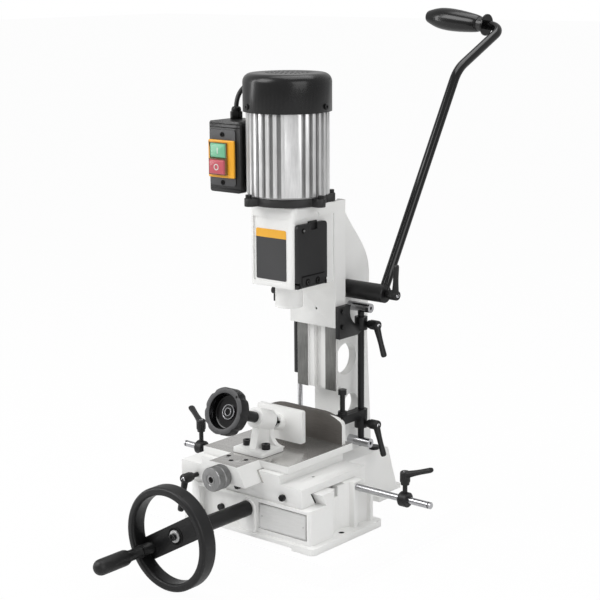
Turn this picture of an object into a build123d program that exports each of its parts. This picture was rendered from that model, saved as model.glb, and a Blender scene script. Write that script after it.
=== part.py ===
from math import cos, pi, radians, sin, tan
import os

from build123d import *

os.makedirs("parts", exist_ok=True)

# Frame: origin at bench level midway between the two bench bolt holes.
# +Z up, -Y towards the person at the handwheel, +X towards the feed lever.

# Fits and gaps
fit_gap = 0.05
slide_gap = 0.3
seat_gap = 0.02

# Spindle axis and column
spindle_x = -14.0
spindle_y = 37.0
throat = 64.0
column_half = 38.0
column_bottom = 186.0
column_top = 466.0
dovetail_depth = 17.0
dovetail_lean = 10.0
neck_half = 26.0
neck_front = 91.0
rib_wall = 14.0
neck_wall = 12.0
left_rib_depth = 39.0
web_foot_depth = 77.0
foot_half = 58.0
foot_height = 77.0
foot_length = 131.0
foot_slope = 26.0
foot_flange = 8.0
foot_lug_half = 75.0
foot_lug_length = 30.0
window_radius = 25.0
window_height = 228.0
low_window_radius = 18.0
low_window_height = 153.0

# Base casting
base_half_x = 117.0
base_half_y = 76.0
base_shelf = 62.0
flange_out = 11.0
flange_thick = 10.0
side_wall = 25.0
front_wall = 20.0
rail_height = 17.5
rail_bottom_half = 38.0
rail_top_half = 48.0
front_rail_inner = 14.0
rear_rail_inner = 18.0
rail_depth = 5.0
bench_hole_radius = 4.5
bench_hole_x = 114.0
relief_half = 88.0
relief_height = 4.0

# Cross-slide handwheel
wheel_radius = 75.0
wheel_rim = 12.0
wheel_width = 26.0
rim_edge = 4.5
wheel_reach = 161.0
wheel_y = -base_half_y - wheel_reach
shaft_z = 44.0
shaft_radius = 8.0
sleeve_radius = 11.5
sleeve_reach = 136.0
pinion_tip = 18.0
pinion_width = 14.0
grip_length = 86.0
grip_radius = 11.5
grip_neck = 8.5

# Saddle
table_x = -18.0
saddle_half_x = 118.5
saddle_half_y = 73.4
saddle_top = 90.5
saddle_plate = 10.5
tier_half = 76.5
tier_height = 13.5
gib_thick = 5.0
gib_end = 16.0
rack_width = 7.0

# Table
table_half = 83.0
table_front = -62.0
table_rear = 89.0
table_thick = 11.0
table_gap = 0.5
slide_bottom_half = 42.0
slide_top_half = 27.0
slide_bottom = 87.0
slide_rear = 70.0
tongue_front = -109.5
table_gib = 4.0
feed_screw_radius = 6.0
feed_screw_z = 98.0
dial_radius = 18.0
dial_length = 26.0

# Fence and clamp
fence_right = 78.0
fence_y = 70.0
fence_thick = 8.0
fence_height = 45.5
fence_corner = 9.0
shoulder_length = 41.0
shoulder_drop = 8.5
clamp_tilt = 20.0
clamp_y = -23.0
clamp_z = 164.0
clamp_boss_radius = 15.5
clamp_boss_half = 17.0
clamp_screw_radius = 8.0
clamp_plate_front = -57.0
clamp_plate_rear = -6.0
clamp_plate_half = 29.0
clamp_plate_thick = 7.5
pad_half = 44.0
pad_y = 17.0
pad_thick = 8.0
pad_bottom = 122.5
pad_top = 173.0
knob_radius = 35.0
knob_length = 18.0
knob_reach = 72.0
knob_lobes = 8

# Head
head_half = 44.0
head_front = 37.0
head_box_rear = 56.0
head_rear = 79.5
head_bottom = 360.0
head_top = 480.0
slide_low = 287.0
cheek_low = 322.0
head_wall = 10.0
boss_radius = 20.5
boss_bottom = 329.0
bush_bottom = 325.0
chisel_radius = 9.55
opening_front = -27.0
opening_rear = 29.0
opening_low = head_bottom + 10.0
opening_top = head_top - 32.0
panel_recess = 2.4

# Motor
flange_height = 12.0
flange_top = head_top + flange_height
flange_radius = 56.0
motor_length = 126.5
body_top = flange_top + motor_length
body_radius = 61.0
fin_depth = 6.0
fin_thick = 5.4
fin_count = 32
stator_bore = 45.0
cap_radius = 65.0
cap_height = 51.5
cap_top = body_top + cap_height
cap_wall = 3.7
cap_shoulder = 13.0
rotor_radius = 38.0
motor_shaft_radius = 8.0
chuck_radius = 15.0
fan_radius = 50.0

# Side cover
cover_front = -36.0
cover_rear = 31.5
cover_low = head_bottom
cover_top = head_top - 25.0
cover_thick = 6.0
hinge_lift = 4.0

# Switch
switch_left = -116.0
switch_right = -67.0
switch_face_right = -55.5
switch_front = -42.0
switch_face_rear = -29.0
switch_rear = 15.0
switch_low = flange_top + 1.0
switch_top = switch_low + 105.0
backing_left = -115.0
backing_right = -64.0
backing_low = switch_low + 10.0
backing_height = 82.5
backing_proud = 1.2
backing_corner = 5.0
panel_low = switch_low + 22.0
panel_height = 55.5
panel_thick = 3.5
button_left = -109.0
button_right = -78.0
button_height = 21.5
start_z = switch_low + 62.0
stop_z = switch_low + 38.0
button_travel = 3.0

# Feed lever
feed_y = 138.0
feed_z = 340.0
feed_tip = 27.7
feed_pinion_half = 7.0
feed_shaft_radius = 9.0
hub_radius = 13.8
hub_end = 91.0
arm_x = 84.0
arm_radius = 7.4
arm_bend_y = 328.0
arm_bend_z = 662.0
arm_corner_y = 455.0
arm_corner_z = 722.0
arm_turn = 26.0
handle_tilt = 6.0
handle_length = 116.0
handle_radius = 18.2
core_radius = 5.0

# Depth stop
rod_x = 34.0
rod_y = 150.0
rod_radius = 5.0
pin_radius = 7.2
pin_end = 53.0
low_pin_z = 97.5
high_pin_z = 311.0
sleeve_low = 276.0
sleeve_top = 296.0
collar_radius = 10.0
bracket_low = 270.5
bracket_top = 320.0
bracket_front = 92.5
bracket_web_rear = 120.0
bracket_thick = 8.0
stop_low = 121.0
stop_top = 150.0
bar_height = 13.0
stop_bolt_y = 104.0
stop_bolt_top = 190.5
stop_bolt_radius = 4.0

# Travel stop rod
stop_rod_y = 33.0
stop_rod_z = 71.5
stop_rod_radius = 5.0
stop_rod_left = -231.0
stop_rod_right = 250.0
travel_collar_radius = 11.0
travel_collar_half = 7.0
left_collar_x = -196.0
right_collar_x = 204.0

# Gas spring
gas_x = -68.0
gas_y = 126.0
gas_radius = 9.0
gas_rod_radius = 4.0
gas_low = 198.0
gas_top = 330.0
gas_rod_top = 250.0

# Clamping levers
stud_radius = 3.5
lever_hub_radius = 7.5
lever_hub_length = 20.0
lever_arm_length = 50.0
lever_arm_radius = 4.6

# Screws
screw_radius = 3.0
screw_head_radius = 5.0
screw_head_height = 6.0


def block(x0, x1, y0, y1, z0, z1, mode=Mode.ADD):
    with Locations(((x0 + x1) / 2, (y0 + y1) / 2, (z0 + z1) / 2)):
        Box(x1 - x0, y1 - y0, z1 - z0, mode=mode)


def round_x(radius, x0, x1, y, z, mode=Mode.ADD):
    with Locations(((x0 + x1) / 2, y, z)):
        Cylinder(radius, x1 - x0, rotation=(0, 90, 0), mode=mode)


def round_y(radius, x, y0, y1, z, mode=Mode.ADD):
    with Locations((x, (y0 + y1) / 2, z)):
        Cylinder(radius, y1 - y0, rotation=(90, 0, 0), mode=mode)


def round_z(radius, x, y, z0, z1, mode=Mode.ADD):
    with Locations((x, y, (z0 + z1) / 2)):
        Cylinder(radius, z1 - z0, mode=mode)


def prism_x(points, x0, x1, mode=Mode.ADD):
    with BuildSketch(Plane.YZ.offset(x0)) as profile:
        with BuildLine():
            Polyline(*points, close=True)
        make_face()
    extrude(profile.sketch, amount=x1 - x0, mode=mode)


def prism_y(points, y0, y1, mode=Mode.ADD):
    with BuildSketch(Plane.XZ.offset(-y0)) as profile:
        with BuildLine():
            Polyline(*points, close=True)
        make_face()
    extrude(profile.sketch, amount=y0 - y1, mode=mode)


def prism_z(points, z0, z1, mode=Mode.ADD):
    with BuildSketch(Plane.XY.offset(z0)) as profile:
        with BuildLine():
            Polyline(*points, close=True)
        make_face()
    extrude(profile.sketch, amount=z1 - z0, mode=mode)


def finish(piece, label):
    piece.part.label = label
    export_step(piece.part, f"parts/{label}.step")


# Base casting: open frame with two rails for the saddle
base_rear = base_half_y
flange_half_x = base_half_x + flange_out
flange_half_y = base_half_y + 7.0
rail_top = base_shelf + rail_height
rail_under = base_shelf - rail_depth
cavity_half = base_half_x - side_wall
cavity_y = base_half_y - front_wall
pocket_depth = 14.0
pocket_front = -28.0
pocket_rear = 27.0
pocket_radius = 40.0
pocket_deepest = 8.0
rear_pocket_front = 35.0
rear_pocket_rear = 66.0
rear_pocket_depth = 7.0
panel_left = 20.0
panel_right = 111.0
panel_floor = 6.0
panel_z0 = 17.0
panel_z1 = 56.5
hollow_left = -98.0
hollow_right = -17.0
hollow_depth = 10.0
hollow_z1 = 57.0
boss_out = 3.5
shaft_boss_radius = 15.0
end_dip = 0.5
end_wall_top = rail_top - 3.0
rack_notch = rack_width / 2 + 1.5
with BuildPart() as base:
    block(-base_half_x, base_half_x, -base_half_y, base_half_y, 0, base_shelf)
    fillet(base.edges().filter_by(Axis.Z), radius=6)
    block(-flange_half_x, flange_half_x, -flange_half_y, flange_half_y, 0, flange_thick)
    fillet(base.edges().filter_by(Axis.Z).group_by(SortBy.DISTANCE)[-1], radius=8)
    prism_x([(-rail_bottom_half, base_shelf), (-rail_top_half, rail_top),
             (-front_rail_inner, rail_top), (-front_rail_inner, base_shelf)], -base_half_x, base_half_x)
    prism_x([(rail_bottom_half, base_shelf), (rail_top_half, rail_top),
             (rear_rail_inner, rail_top), (rear_rail_inner, base_shelf)], -base_half_x, base_half_x)
    block(-cavity_half, cavity_half, -cavity_y, cavity_y, -1, rail_under, Mode.SUBTRACT)
    block(-cavity_half, cavity_half, -front_rail_inner, rear_rail_inner, -1, rail_top, Mode.SUBTRACT)
    for side in (-1, 1):
        block(*sorted((side * cavity_half, side * base_half_x)), -front_rail_inner, rear_rail_inner,
              base_shelf - 1,
              end_wall_top)
    block(-base_half_x - 1, base_half_x + 1, -rack_notch, rack_notch, base_shelf - end_dip, rail_top,
          Mode.SUBTRACT)
    for side in (-1, 1):
        with BuildSketch(Plane.XY.offset(flange_thick)) as scoop:
            with Locations((side * (base_half_x - pocket_depth + pocket_radius), pocket_deepest)):
                Circle(pocket_radius)
            with Locations((side * base_half_x, (pocket_front + pocket_rear) / 2)):
                Rectangle(2 * pocket_depth + 2, pocket_rear - pocket_front, mode=Mode.INTERSECT)
        extrude(scoop.sketch, amount=rail_top - flange_thick, mode=Mode.SUBTRACT)
        outer = side * (base_half_x + 1)
        inner = side * (base_half_x - rear_pocket_depth)
        block(min(outer, inner), max(outer, inner), rear_pocket_front, rear_pocket_rear, flange_thick,
              rail_under, Mode.SUBTRACT)
        round_z(bench_hole_radius, side * bench_hole_x, 0, -1, flange_thick + 1, Mode.SUBTRACT)
    block(hollow_left, hollow_right, -base_half_y - 1, hollow_depth - base_half_y, flange_thick, hollow_z1,
          Mode.SUBTRACT)
    block(panel_left, panel_right, -base_half_y - 1, panel_floor - base_half_y, panel_z0, panel_z1,
          Mode.SUBTRACT)
    block(-relief_half, relief_half, -flange_half_y - 1, -cavity_y, -1, relief_height, Mode.SUBTRACT)
    round_y(shaft_boss_radius, 0, -base_half_y - boss_out, -cavity_y, shaft_z)
    block(-shaft_boss_radius, shaft_boss_radius, -base_half_y - boss_out, -base_half_y + 1, flange_thick,
          shaft_z)
    round_y(sleeve_radius + seat_gap, 0, -base_half_y - boss_out - 1, -cavity_y + 1, shaft_z, Mode.SUBTRACT)
    round_x(stop_rod_radius + seat_gap, -base_half_x - 1, base_half_x + 1, stop_rod_y, stop_rod_z,
            Mode.SUBTRACT)
finish(base, "base_casting")

# Bare name plate let into the front panel
plate_margin = 1.0
plate_thick = 6.6
plate_back = panel_floor - base_half_y
with BuildPart() as name_plate:
    block(panel_left + plate_margin, panel_right - plate_margin, plate_back - plate_thick, plate_back,
          panel_z0 + plate_margin, panel_z1 - plate_margin)
    fillet(name_plate.edges().filter_by(Axis.Y), radius=2)
finish(name_plate, "name_plate")

# Column: foot, dovetail way, deep right rib and shallow left rib
way_y = spindle_y + throat
neck_y = spindle_y + neck_front
way_back = way_y + dovetail_depth
foot_rear = base_rear + foot_length
web_rear = neck_y + web_foot_depth
rib_left = spindle_x + neck_half - rib_wall
rib_right = spindle_x + neck_half
left_outer = spindle_x - neck_half
left_inner = left_outer + rib_wall
channel_half = 17.0
channel_depth = 3.0
rack_half = 6.0
rack_tip_y = feed_y - feed_tip - slide_gap
rack_slot_back = rack_tip_y + 1.0
window_y = neck_y + 13.0
low_window_y = neck_y + 25.0
foot_step = 0.5
foot_wall = 12.0
foot_roof = 14.0
gas_boss_radius = 10.0
gas_boss_height = 24.0
with BuildPart() as column:
    prism_x([(base_rear, flange_thick + foot_step), (flange_half_y + foot_step, flange_thick + foot_step),
             (flange_half_y + foot_step, 0), (foot_rear + foot_slope, 0), (foot_rear, foot_height),
             (base_rear, foot_height)], spindle_x - foot_half, spindle_x + foot_half)
    fillet(column.edges().filter_by(Axis.X).sort_by(Axis.Z)[-2:], radius=5)
    block(spindle_x - foot_half, spindle_x + foot_half, foot_rear, foot_rear + foot_slope + 8, 0,
          foot_flange)
    block(spindle_x - foot_lug_half, spindle_x + foot_lug_half, neck_y + 34,
          neck_y + 34 + foot_lug_length, 0,
          foot_flange)
    block(spindle_x - foot_half + foot_wall, spindle_x + foot_half - foot_wall,
          flange_half_y + foot_step + foot_wall, foot_rear - foot_wall, -1, foot_height - foot_roof,
          Mode.SUBTRACT)
    round_z(gas_boss_radius, gas_x, gas_y, foot_height - gas_boss_height, foot_height)
    block(left_outer, rib_right, neck_y, neck_y + neck_wall, foot_height - 1, column_top - 10)
    block(left_outer, left_inner, neck_y, neck_y + left_rib_depth, foot_height - 1, column_top - 40)
    with BuildSketch(Plane.YZ.offset(rib_left)):
        with BuildLine():
            Polyline((neck_y, column_top - 10), (neck_y, foot_height - 1), (web_rear, foot_height - 1),
                     (web_rear - 11, 265), (web_rear - 6, 349))
            Spline((web_rear - 6, 349), (web_rear - 12, 382), (web_rear - 34, 416), (neck_y + 13, 454))
            Line((neck_y + 13, 454), (neck_y, column_top - 10))
        make_face()
    extrude(amount=rib_wall)
    prism_z([(spindle_x - column_half, way_y), (spindle_x + column_half, way_y),
             (spindle_x + column_half - dovetail_lean, way_back), (rib_right, way_back), (rib_right,
                                                                                          neck_y),
             (left_outer, neck_y), (left_outer, way_back),
             (spindle_x - column_half + dovetail_lean, way_back)], column_bottom, column_top)
    block(spindle_x - channel_half, spindle_x + channel_half, way_y - 1, way_y + channel_depth,
          column_bottom - 1, column_top + 1, Mode.SUBTRACT)
    block(spindle_x - rack_half - 1, spindle_x + rack_half + 1, way_y - 1, rack_slot_back,
          column_bottom - 1,
          column_top + 1, Mode.SUBTRACT)
    round_x(feed_tip + 2, spindle_x - feed_pinion_half - 2, spindle_x + feed_pinion_half + 2, feed_y,
            feed_z,
            Mode.SUBTRACT)
    round_x(feed_shaft_radius + fit_gap, left_outer - 1, rib_right + 1, feed_y, feed_z, Mode.SUBTRACT)
    round_x(window_radius, left_outer - 1, rib_right + 1, window_y, window_height, Mode.SUBTRACT)
    round_x(low_window_radius, left_outer - 1, rib_right + 1, low_window_y, low_window_height,
            Mode.SUBTRACT)
    for side in (-1, 1):
        round_z(bench_hole_radius, spindle_x + side * (foot_half + 8), neck_y + 34 + foot_lug_length / 2,
                -1,
                foot_flange + 1, Mode.SUBTRACT)
        round_x(screw_radius + seat_gap, *sorted((spindle_x + side * (foot_half + 1),
                spindle_x + side * (foot_half - 14))), base_rear + 32, 48, Mode.SUBTRACT)
    round_z(gas_rod_radius + seat_gap, gas_x, gas_y, foot_height - 12, foot_height + 1, Mode.SUBTRACT)
finish(column, "column_casting")

# Screws on the fixed castings: base front screw, column side screws, bolt on the foot
front_screw_x = -61.0
front_screw_z = 29.5
foot_bolt_x = 34.0
foot_bolt_y = 184.0
foot_bolt_radius = 8.0
foot_bolt_height = 5.0
with BuildPart() as base_screws:
    wall_y = hollow_depth - base_half_y
    round_y(screw_head_radius, front_screw_x, wall_y - screw_head_height, wall_y, front_screw_z)
    for side in (-1, 1):
        face = spindle_x + side * foot_half
        round_x(screw_head_radius, *sorted((face, face + side * screw_head_height)), base_rear + 32, 48)
        round_x(screw_radius, *sorted((face, face - side * 13)), base_rear + 32, 48)
    round_z(foot_bolt_radius, foot_bolt_x, foot_bolt_y, foot_height, foot_height + foot_bolt_height)
finish(base_screws, "base_screws")

# Depth rod between two standoff pins on the right rib
spigot = 3.0
with BuildPart() as depth_rod:
    round_z(rod_radius, rod_x, rod_y, low_pin_z + pin_radius, high_pin_z - pin_radius)
    round_z(spigot, rod_x, rod_y, low_pin_z - pin_radius, high_pin_z)
finish(depth_rod, "depth_rod")

with BuildPart() as standoffs:
    for pin_z in (low_pin_z, high_pin_z):
        round_x(pin_radius, rib_right, pin_end, rod_y, pin_z)
        round_x(2.5, pin_end - 6, pin_end + 1, rod_y, pin_z, Mode.SUBTRACT)
    round_z(spigot + seat_gap, rod_x, rod_y, low_pin_z - pin_radius - 1, high_pin_z + 0.2, Mode.SUBTRACT)
finish(standoffs, "rod_standoffs")

# Travel stop rod through the base, with a groove near each end
groove_inset = 4.0
groove_width = 1.6
groove_depth = 1.0
with BuildPart() as stop_rod:
    round_x(stop_rod_radius, stop_rod_left, stop_rod_right, stop_rod_y, stop_rod_z)
    chamfer(stop_rod.edges().filter_by(GeomType.CIRCLE), length=0.8)
    for groove_x in (stop_rod_left + groove_inset, stop_rod_right - groove_inset):
        round_x(stop_rod_radius + 1, groove_x - groove_width / 2, groove_x + groove_width / 2, stop_rod_y,
                stop_rod_z, Mode.SUBTRACT)
        round_x(stop_rod_radius - groove_depth, groove_x - groove_width, groove_x + groove_width, stop_rod_y,
                stop_rod_z)
finish(stop_rod, "travel_stop_rod")

# Handwheel shaft sleeve
sleeve_front = -base_half_y - sleeve_reach
with BuildPart() as sleeve:
    round_y(sleeve_radius, 0, sleeve_front, -cavity_y, shaft_z)
    round_y(shaft_radius + fit_gap, 0, sleeve_front - 1, -cavity_y + 1, shaft_z, Mode.SUBTRACT)
finish(sleeve, "shaft_sleeve")

# Gas spring rod standing in the column foot
with BuildPart() as gas_rod:
    round_z(gas_rod_radius, gas_x, gas_y, foot_height - 11, gas_rod_top)
    with BuildSketch(Plane.XY.offset(foot_height)):
        with Locations((gas_x, gas_y)):
            RegularPolygon(6.5, 6)
    extrude(amount=6)
    round_z(gas_rod_radius, gas_x, gas_y, foot_height, foot_height + 7)
finish(gas_rod, "gas_spring_rod")

# Saddle: plate with aprons over the rails and a dovetail slot for the table
saddle_left = table_x - saddle_half_x
saddle_right = table_x + saddle_half_x
apron_low = base_shelf + table_gap
plate_low = saddle_top - saddle_plate
tier_top = saddle_top + tier_height
slide_slope = (slide_bottom_half - slide_top_half) / (tier_top + table_gap + table_thick - slide_bottom)
slot_low = slide_bottom - table_gap
slot_low_half = slide_bottom_half + slide_gap + slide_slope * table_gap
slot_top_half = slide_bottom_half + slide_gap - slide_slope * (tier_top - slide_bottom)
rail_slope = (rail_top_half - rail_bottom_half) / rail_height
female_low = rail_bottom_half + rail_slope * table_gap + slide_gap
female_top = rail_top_half + rail_slope * (plate_low - rail_top) + slide_gap
lock_x = -104.0
lock_z = 73.0
lock_depth = 12.0
saddle_screw_z = 73.0
saddle_screw_x = (-20.0, 66.0)
oil_hole = 2.8
oil_hole_out = 14.5
oil_hole_y = -14.5
with BuildPart() as saddle:
    block(saddle_left, saddle_right, -saddle_half_y, saddle_half_y, apron_low, saddle_top)
    block(table_x - tier_half, table_x + tier_half, -saddle_half_y, saddle_half_y, saddle_top, tier_top)
    prism_x([(-female_low - gib_thick, apron_low), (-female_top - gib_thick, plate_low), (female_top,
                                                                                          plate_low),
             (female_low, apron_low)], saddle_left - 1, saddle_right + 1, Mode.SUBTRACT)
    prism_y([(table_x - slot_low_half, slot_low), (table_x - slot_top_half, tier_top),
             (table_x + slot_top_half + table_gib, tier_top),
             (table_x + slot_low_half + table_gib, slot_low)], -saddle_half_y - 1, saddle_half_y + 1,
            Mode.SUBTRACT)
    for screw_x in saddle_screw_x:
        round_y(screw_radius + seat_gap, screw_x, -saddle_half_y - 1, -female_top, saddle_screw_z,
                Mode.SUBTRACT)
    round_y(stud_radius + fit_gap, lock_x, -saddle_half_y - 1, -saddle_half_y + lock_depth + 2, lock_z,
            Mode.SUBTRACT)
    for side in (-1, 1):
        round_z(oil_hole, table_x + side * (tier_half + oil_hole_out), oil_hole_y, plate_low + 3,
                saddle_top + 1, Mode.SUBTRACT)
finish(saddle, "saddle")

# Gib strips: one along the front rail, one beside the table's slide
gib_bottom = slide_bottom_half + slide_gap
gib_upper = slot_top_half
with BuildPart() as gib_strips:
    prism_x([(-female_low, apron_low), (-female_top, plate_low - seat_gap),
             (-female_top - gib_thick + seat_gap, plate_low - seat_gap),
             (-female_low - gib_thick + seat_gap,
              apron_low)], saddle_left + gib_end, saddle_right - gib_end)
    prism_y([(table_x + gib_bottom, slide_bottom), (table_x + gib_upper, tier_top),
             (table_x + gib_upper + table_gib - seat_gap, tier_top),
             (table_x + gib_bottom + table_gib - seat_gap, slide_bottom)], -saddle_half_y, saddle_half_y)
finish(gib_strips, "gib_strips")

gib_face = -female_low - gib_thick - rail_slope * (saddle_screw_z - apron_low)
with BuildPart() as saddle_screws:
    for screw_x in saddle_screw_x:
        round_y(screw_radius, screw_x, -saddle_half_y, gib_face - 2.5, saddle_screw_z)
        with BuildSketch(Plane.XZ.offset(saddle_half_y)):
            with Locations((screw_x, saddle_screw_z)):
                RegularPolygon(screw_head_radius, 6)
        extrude(amount=screw_head_height)
finish(saddle_screws, "saddle_screws")

rack_low = shaft_z + pinion_tip + slide_gap
tooth_pitch = 4.0
rack_reach = 112.0
with BuildPart() as cross_rack:
    block(table_x - rack_reach, table_x + rack_reach, -rack_width / 2, rack_width / 2, rack_low, plate_low)
    for step in range(int(2 * rack_reach / tooth_pitch) - 1):
        tooth_x = table_x - rack_reach + tooth_pitch * (step + 1)
        block(tooth_x - 1, tooth_x + 1, -rack_width / 2, rack_width / 2, rack_low - 1, rack_low + 2,
              Mode.SUBTRACT)
finish(cross_rack, "cross_rack")

nut_half = 8.0
nut_y0 = -6.0
nut_y1 = 12.0
nut_top = 104.0
with BuildPart() as feed_nut:
    block(table_x - nut_half, table_x + nut_half, nut_y0, nut_y1, slot_low, nut_top)
    round_y(feed_screw_radius + fit_gap, table_x, nut_y0 - 1, nut_y1 + 1, feed_screw_z, Mode.SUBTRACT)
finish(feed_nut, "feed_nut")

# Handwheel with its pinion shaft
pinion_teeth = 24
tooth_depth = 2.0
shaft_end = wheel_y + 15
with BuildPart() as pinion_shaft:
    round_y(shaft_radius, 0, shaft_end, pinion_width / 2 + 6, shaft_z)
    round_y(pinion_tip, 0, -pinion_width / 2, pinion_width / 2, shaft_z)
    with BuildSketch(Plane.XZ.offset(pinion_width / 2)):
        with Locations((0, shaft_z)):
            with PolarLocations(pinion_tip, pinion_teeth):
                Rectangle(2 * tooth_depth, 2.4)
    extrude(amount=-pinion_width, mode=Mode.SUBTRACT)
finish(pinion_shaft, "pinion_shaft")

hub_outer = 13.5
hub_back = wheel_y + 24
hub_front = wheel_y + 8
spoke_width = 34.0
spoke_thick = 6.0
spoke_y = wheel_y + 12
grip_offset = wheel_radius - wheel_rim - 7
grip_angle = 210.0
grip_seat_radius = 9.0
grip_x = grip_offset * cos(radians(grip_angle))
grip_z = shaft_z + grip_offset * sin(radians(grip_angle))
wheel_front = wheel_y - wheel_width / 2
grip_pin_radius = 4.0
with BuildPart() as handwheel:
    round_y(wheel_radius, 0, wheel_front, wheel_front + wheel_width, shaft_z)
    round_y(wheel_radius - wheel_rim, 0, wheel_front - 1, wheel_front + wheel_width + 1, shaft_z,
            Mode.SUBTRACT)
    fillet(handwheel.edges().filter_by(GeomType.CIRCLE), radius=rim_edge)
    with BuildSketch(Plane.XZ.offset(-spoke_y - spoke_thick / 2)):
        with Locations(Location((0, shaft_z), grip_angle)):
            Rectangle(2 * (wheel_radius - wheel_rim / 2), spoke_width)
    extrude(amount=spoke_thick)
    round_y(hub_outer, 0, hub_front, hub_back, shaft_z)
    round_y(grip_seat_radius, grip_x, wheel_front, spoke_y, grip_z)
    round_y(shaft_radius + seat_gap, 0, shaft_end - seat_gap, hub_back + 1, shaft_z, Mode.SUBTRACT)
    round_y(screw_radius + seat_gap, 0, hub_front - 1, hub_back, shaft_z, Mode.SUBTRACT)
    round_y(grip_pin_radius + seat_gap, grip_x, wheel_front - 1, wheel_y + 20, grip_z, Mode.SUBTRACT)
finish(handwheel, "handwheel")

grip_rear = wheel_front - 0.5
grip_front = grip_rear - grip_length
pin_front = grip_front + 16
pin_ring = 1.0
ring_width = 3.0
ring_y = pin_front + 12
washer_radius = 9.0
washer_thick = 2.0
cap_head = 5.0
with BuildPart() as wheel_bolts:
    round_y(washer_radius, 0, hub_front - washer_thick, hub_front, shaft_z)
    round_y(cap_head, 0, hub_front - washer_thick - cap_head, hub_front - washer_thick, shaft_z)
    round_y(screw_radius, 0, hub_front - washer_thick, shaft_end - seat_gap, shaft_z)
    round_y(cap_head / 2, 0, hub_front - washer_thick - cap_head - 1,
            hub_front - washer_thick - cap_head / 2, shaft_z,
            Mode.SUBTRACT)
    round_y(grip_pin_radius, grip_x, pin_front, wheel_y + 4.5, grip_z)
    round_y(grip_pin_radius + pin_ring, grip_x, ring_y, ring_y + ring_width, grip_z)
finish(wheel_bolts, "wheel_bolts")

with BuildPart() as spinner:
    with BuildSketch(Plane.XY.offset(grip_z)):
        with BuildLine():
            swell_y = grip_rear - 30
            dome_y = grip_front + grip_radius
            Polyline((grip_x, grip_front), (grip_x, grip_rear), (grip_x + grip_neck, grip_rear))
            Spline((grip_x + grip_neck, grip_rear), (grip_x + grip_radius, swell_y), tangents=((0, -1),
                                                                                               (0, -1)))
            Line((grip_x + grip_radius, swell_y), (grip_x + grip_radius, dome_y))
            TangentArc((grip_x + grip_radius, dome_y), (grip_x, grip_front), tangent=(0, -1))
        make_face()
    revolve(axis=Axis((grip_x, 0, grip_z), (0, 1, 0)))
    round_y(grip_pin_radius + fit_gap, grip_x, pin_front - slide_gap, wheel_front, grip_z, Mode.SUBTRACT)
    round_y(grip_pin_radius + pin_ring + slide_gap, grip_x, ring_y - slide_gap,
            ring_y + ring_width + slide_gap, grip_z,
            Mode.SUBTRACT)
finish(spinner, "wheel_grip")

# Table: top plate over a dovetail slide that runs forward as a tongue
table_low = tier_top + table_gap
table_top = table_low + table_thick
slide_at_low = slide_bottom_half - slide_slope * (table_low - slide_bottom)
screw_tunnel = 9.0
tongue_hole_radius = 3.2
tongue_holes = ((-20.0, -12.7), (-2.6, -27.0), (13.6, -12.4))
with BuildPart() as table:
    block(table_x - table_half, table_x + table_half, table_front, table_rear, table_low, table_top)
    prism_y([(table_x - slide_bottom_half, slide_bottom), (table_x - slide_at_low, table_low),
             (table_x + slide_at_low, table_low), (table_x + slide_bottom_half, slide_bottom)],
            tongue_front, slide_rear)
    prism_y([(table_x - slide_at_low, table_low), (table_x - slide_top_half, table_top),
             (table_x + slide_top_half, table_top), (table_x + slide_at_low, table_low)],
            tongue_front, table_front)
    block(table_x - screw_tunnel, table_x + screw_tunnel, nut_y0 - 14, slide_rear - 8, slide_bottom - 1,
          table_low, Mode.SUBTRACT)
    round_y(feed_screw_radius + fit_gap, table_x, tongue_front - 1, nut_y0, feed_screw_z, Mode.SUBTRACT)
    for hole_x, hole_y in tongue_holes:
        round_z(tongue_hole_radius, table_x + hole_x, table_front + hole_y, table_top - 8, table_top + 1,
                Mode.SUBTRACT)
finish(table, "table")

dial_socket = 4.6
with BuildPart() as feed_screw:
    round_y(feed_screw_radius, table_x, tongue_front - dial_length, nut_y1 + 40, feed_screw_z)
    round_y(dial_socket, table_x, tongue_front - dial_length - 1, tongue_front - dial_length + 12,
            feed_screw_z,
            Mode.SUBTRACT)
finish(feed_screw, "feed_screw")

with BuildPart() as dial:
    round_y(dial_radius, table_x, tongue_front - dial_length, tongue_front - seat_gap - 0.2, feed_screw_z)
    fillet(dial.edges().filter_by(GeomType.CIRCLE), radius=1.2)
    round_y(dial_radius + 1, table_x, tongue_front - dial_length + 7, tongue_front - dial_length + 8,
            feed_screw_z, Mode.SUBTRACT)
    round_y(dial_radius - 1, table_x, tongue_front - dial_length + 6, tongue_front - dial_length + 9,
            feed_screw_z)
    round_y(feed_screw_radius + seat_gap, table_x, tongue_front - dial_length - 1, tongue_front,
            feed_screw_z, Mode.SUBTRACT)
finish(dial, "feed_dial")

# Fence plate with large top corners and a foot behind it
fence_top = table_top + fence_height
fence_foot = 10.0
with BuildPart() as fence:
    with BuildSketch(Plane.XZ.offset(-fence_y)):
        with BuildLine():
            left = table_x - fence_right
            right = table_x + fence_right
            low_shoulder = fence_top - shoulder_drop
            Polyline((left, low_shoulder - fence_corner), (left, table_top), (right, table_top),
                     (right, low_shoulder - fence_corner))
            for edge, side in ((right, -1), (left, 1)):
                corner = (edge + side * 0.8 * fence_corner, low_shoulder)
                TangentArc((edge, low_shoulder - fence_corner), corner, tangent=(0, 1))
                ThreePointArc(corner, (edge + side * 0.55 * shoulder_length,
                                       fence_top - 0.3 * shoulder_drop),
                              (edge + side * shoulder_length, fence_top))
            Line((right - shoulder_length, fence_top), (left + shoulder_length, fence_top))
        make_face()
    extrude(amount=-fence_thick)
    block(left + 14, right - 14, fence_y + fence_thick, table_rear - 0.5, table_top, table_top + fence_foot)
    for side in (-1, 1):
        round_z(screw_radius + seat_gap, table_x + side * 42, table_rear - 5.5, table_top - 1,
                table_top + fence_foot + 1, Mode.SUBTRACT)
finish(fence, "fence")

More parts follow.
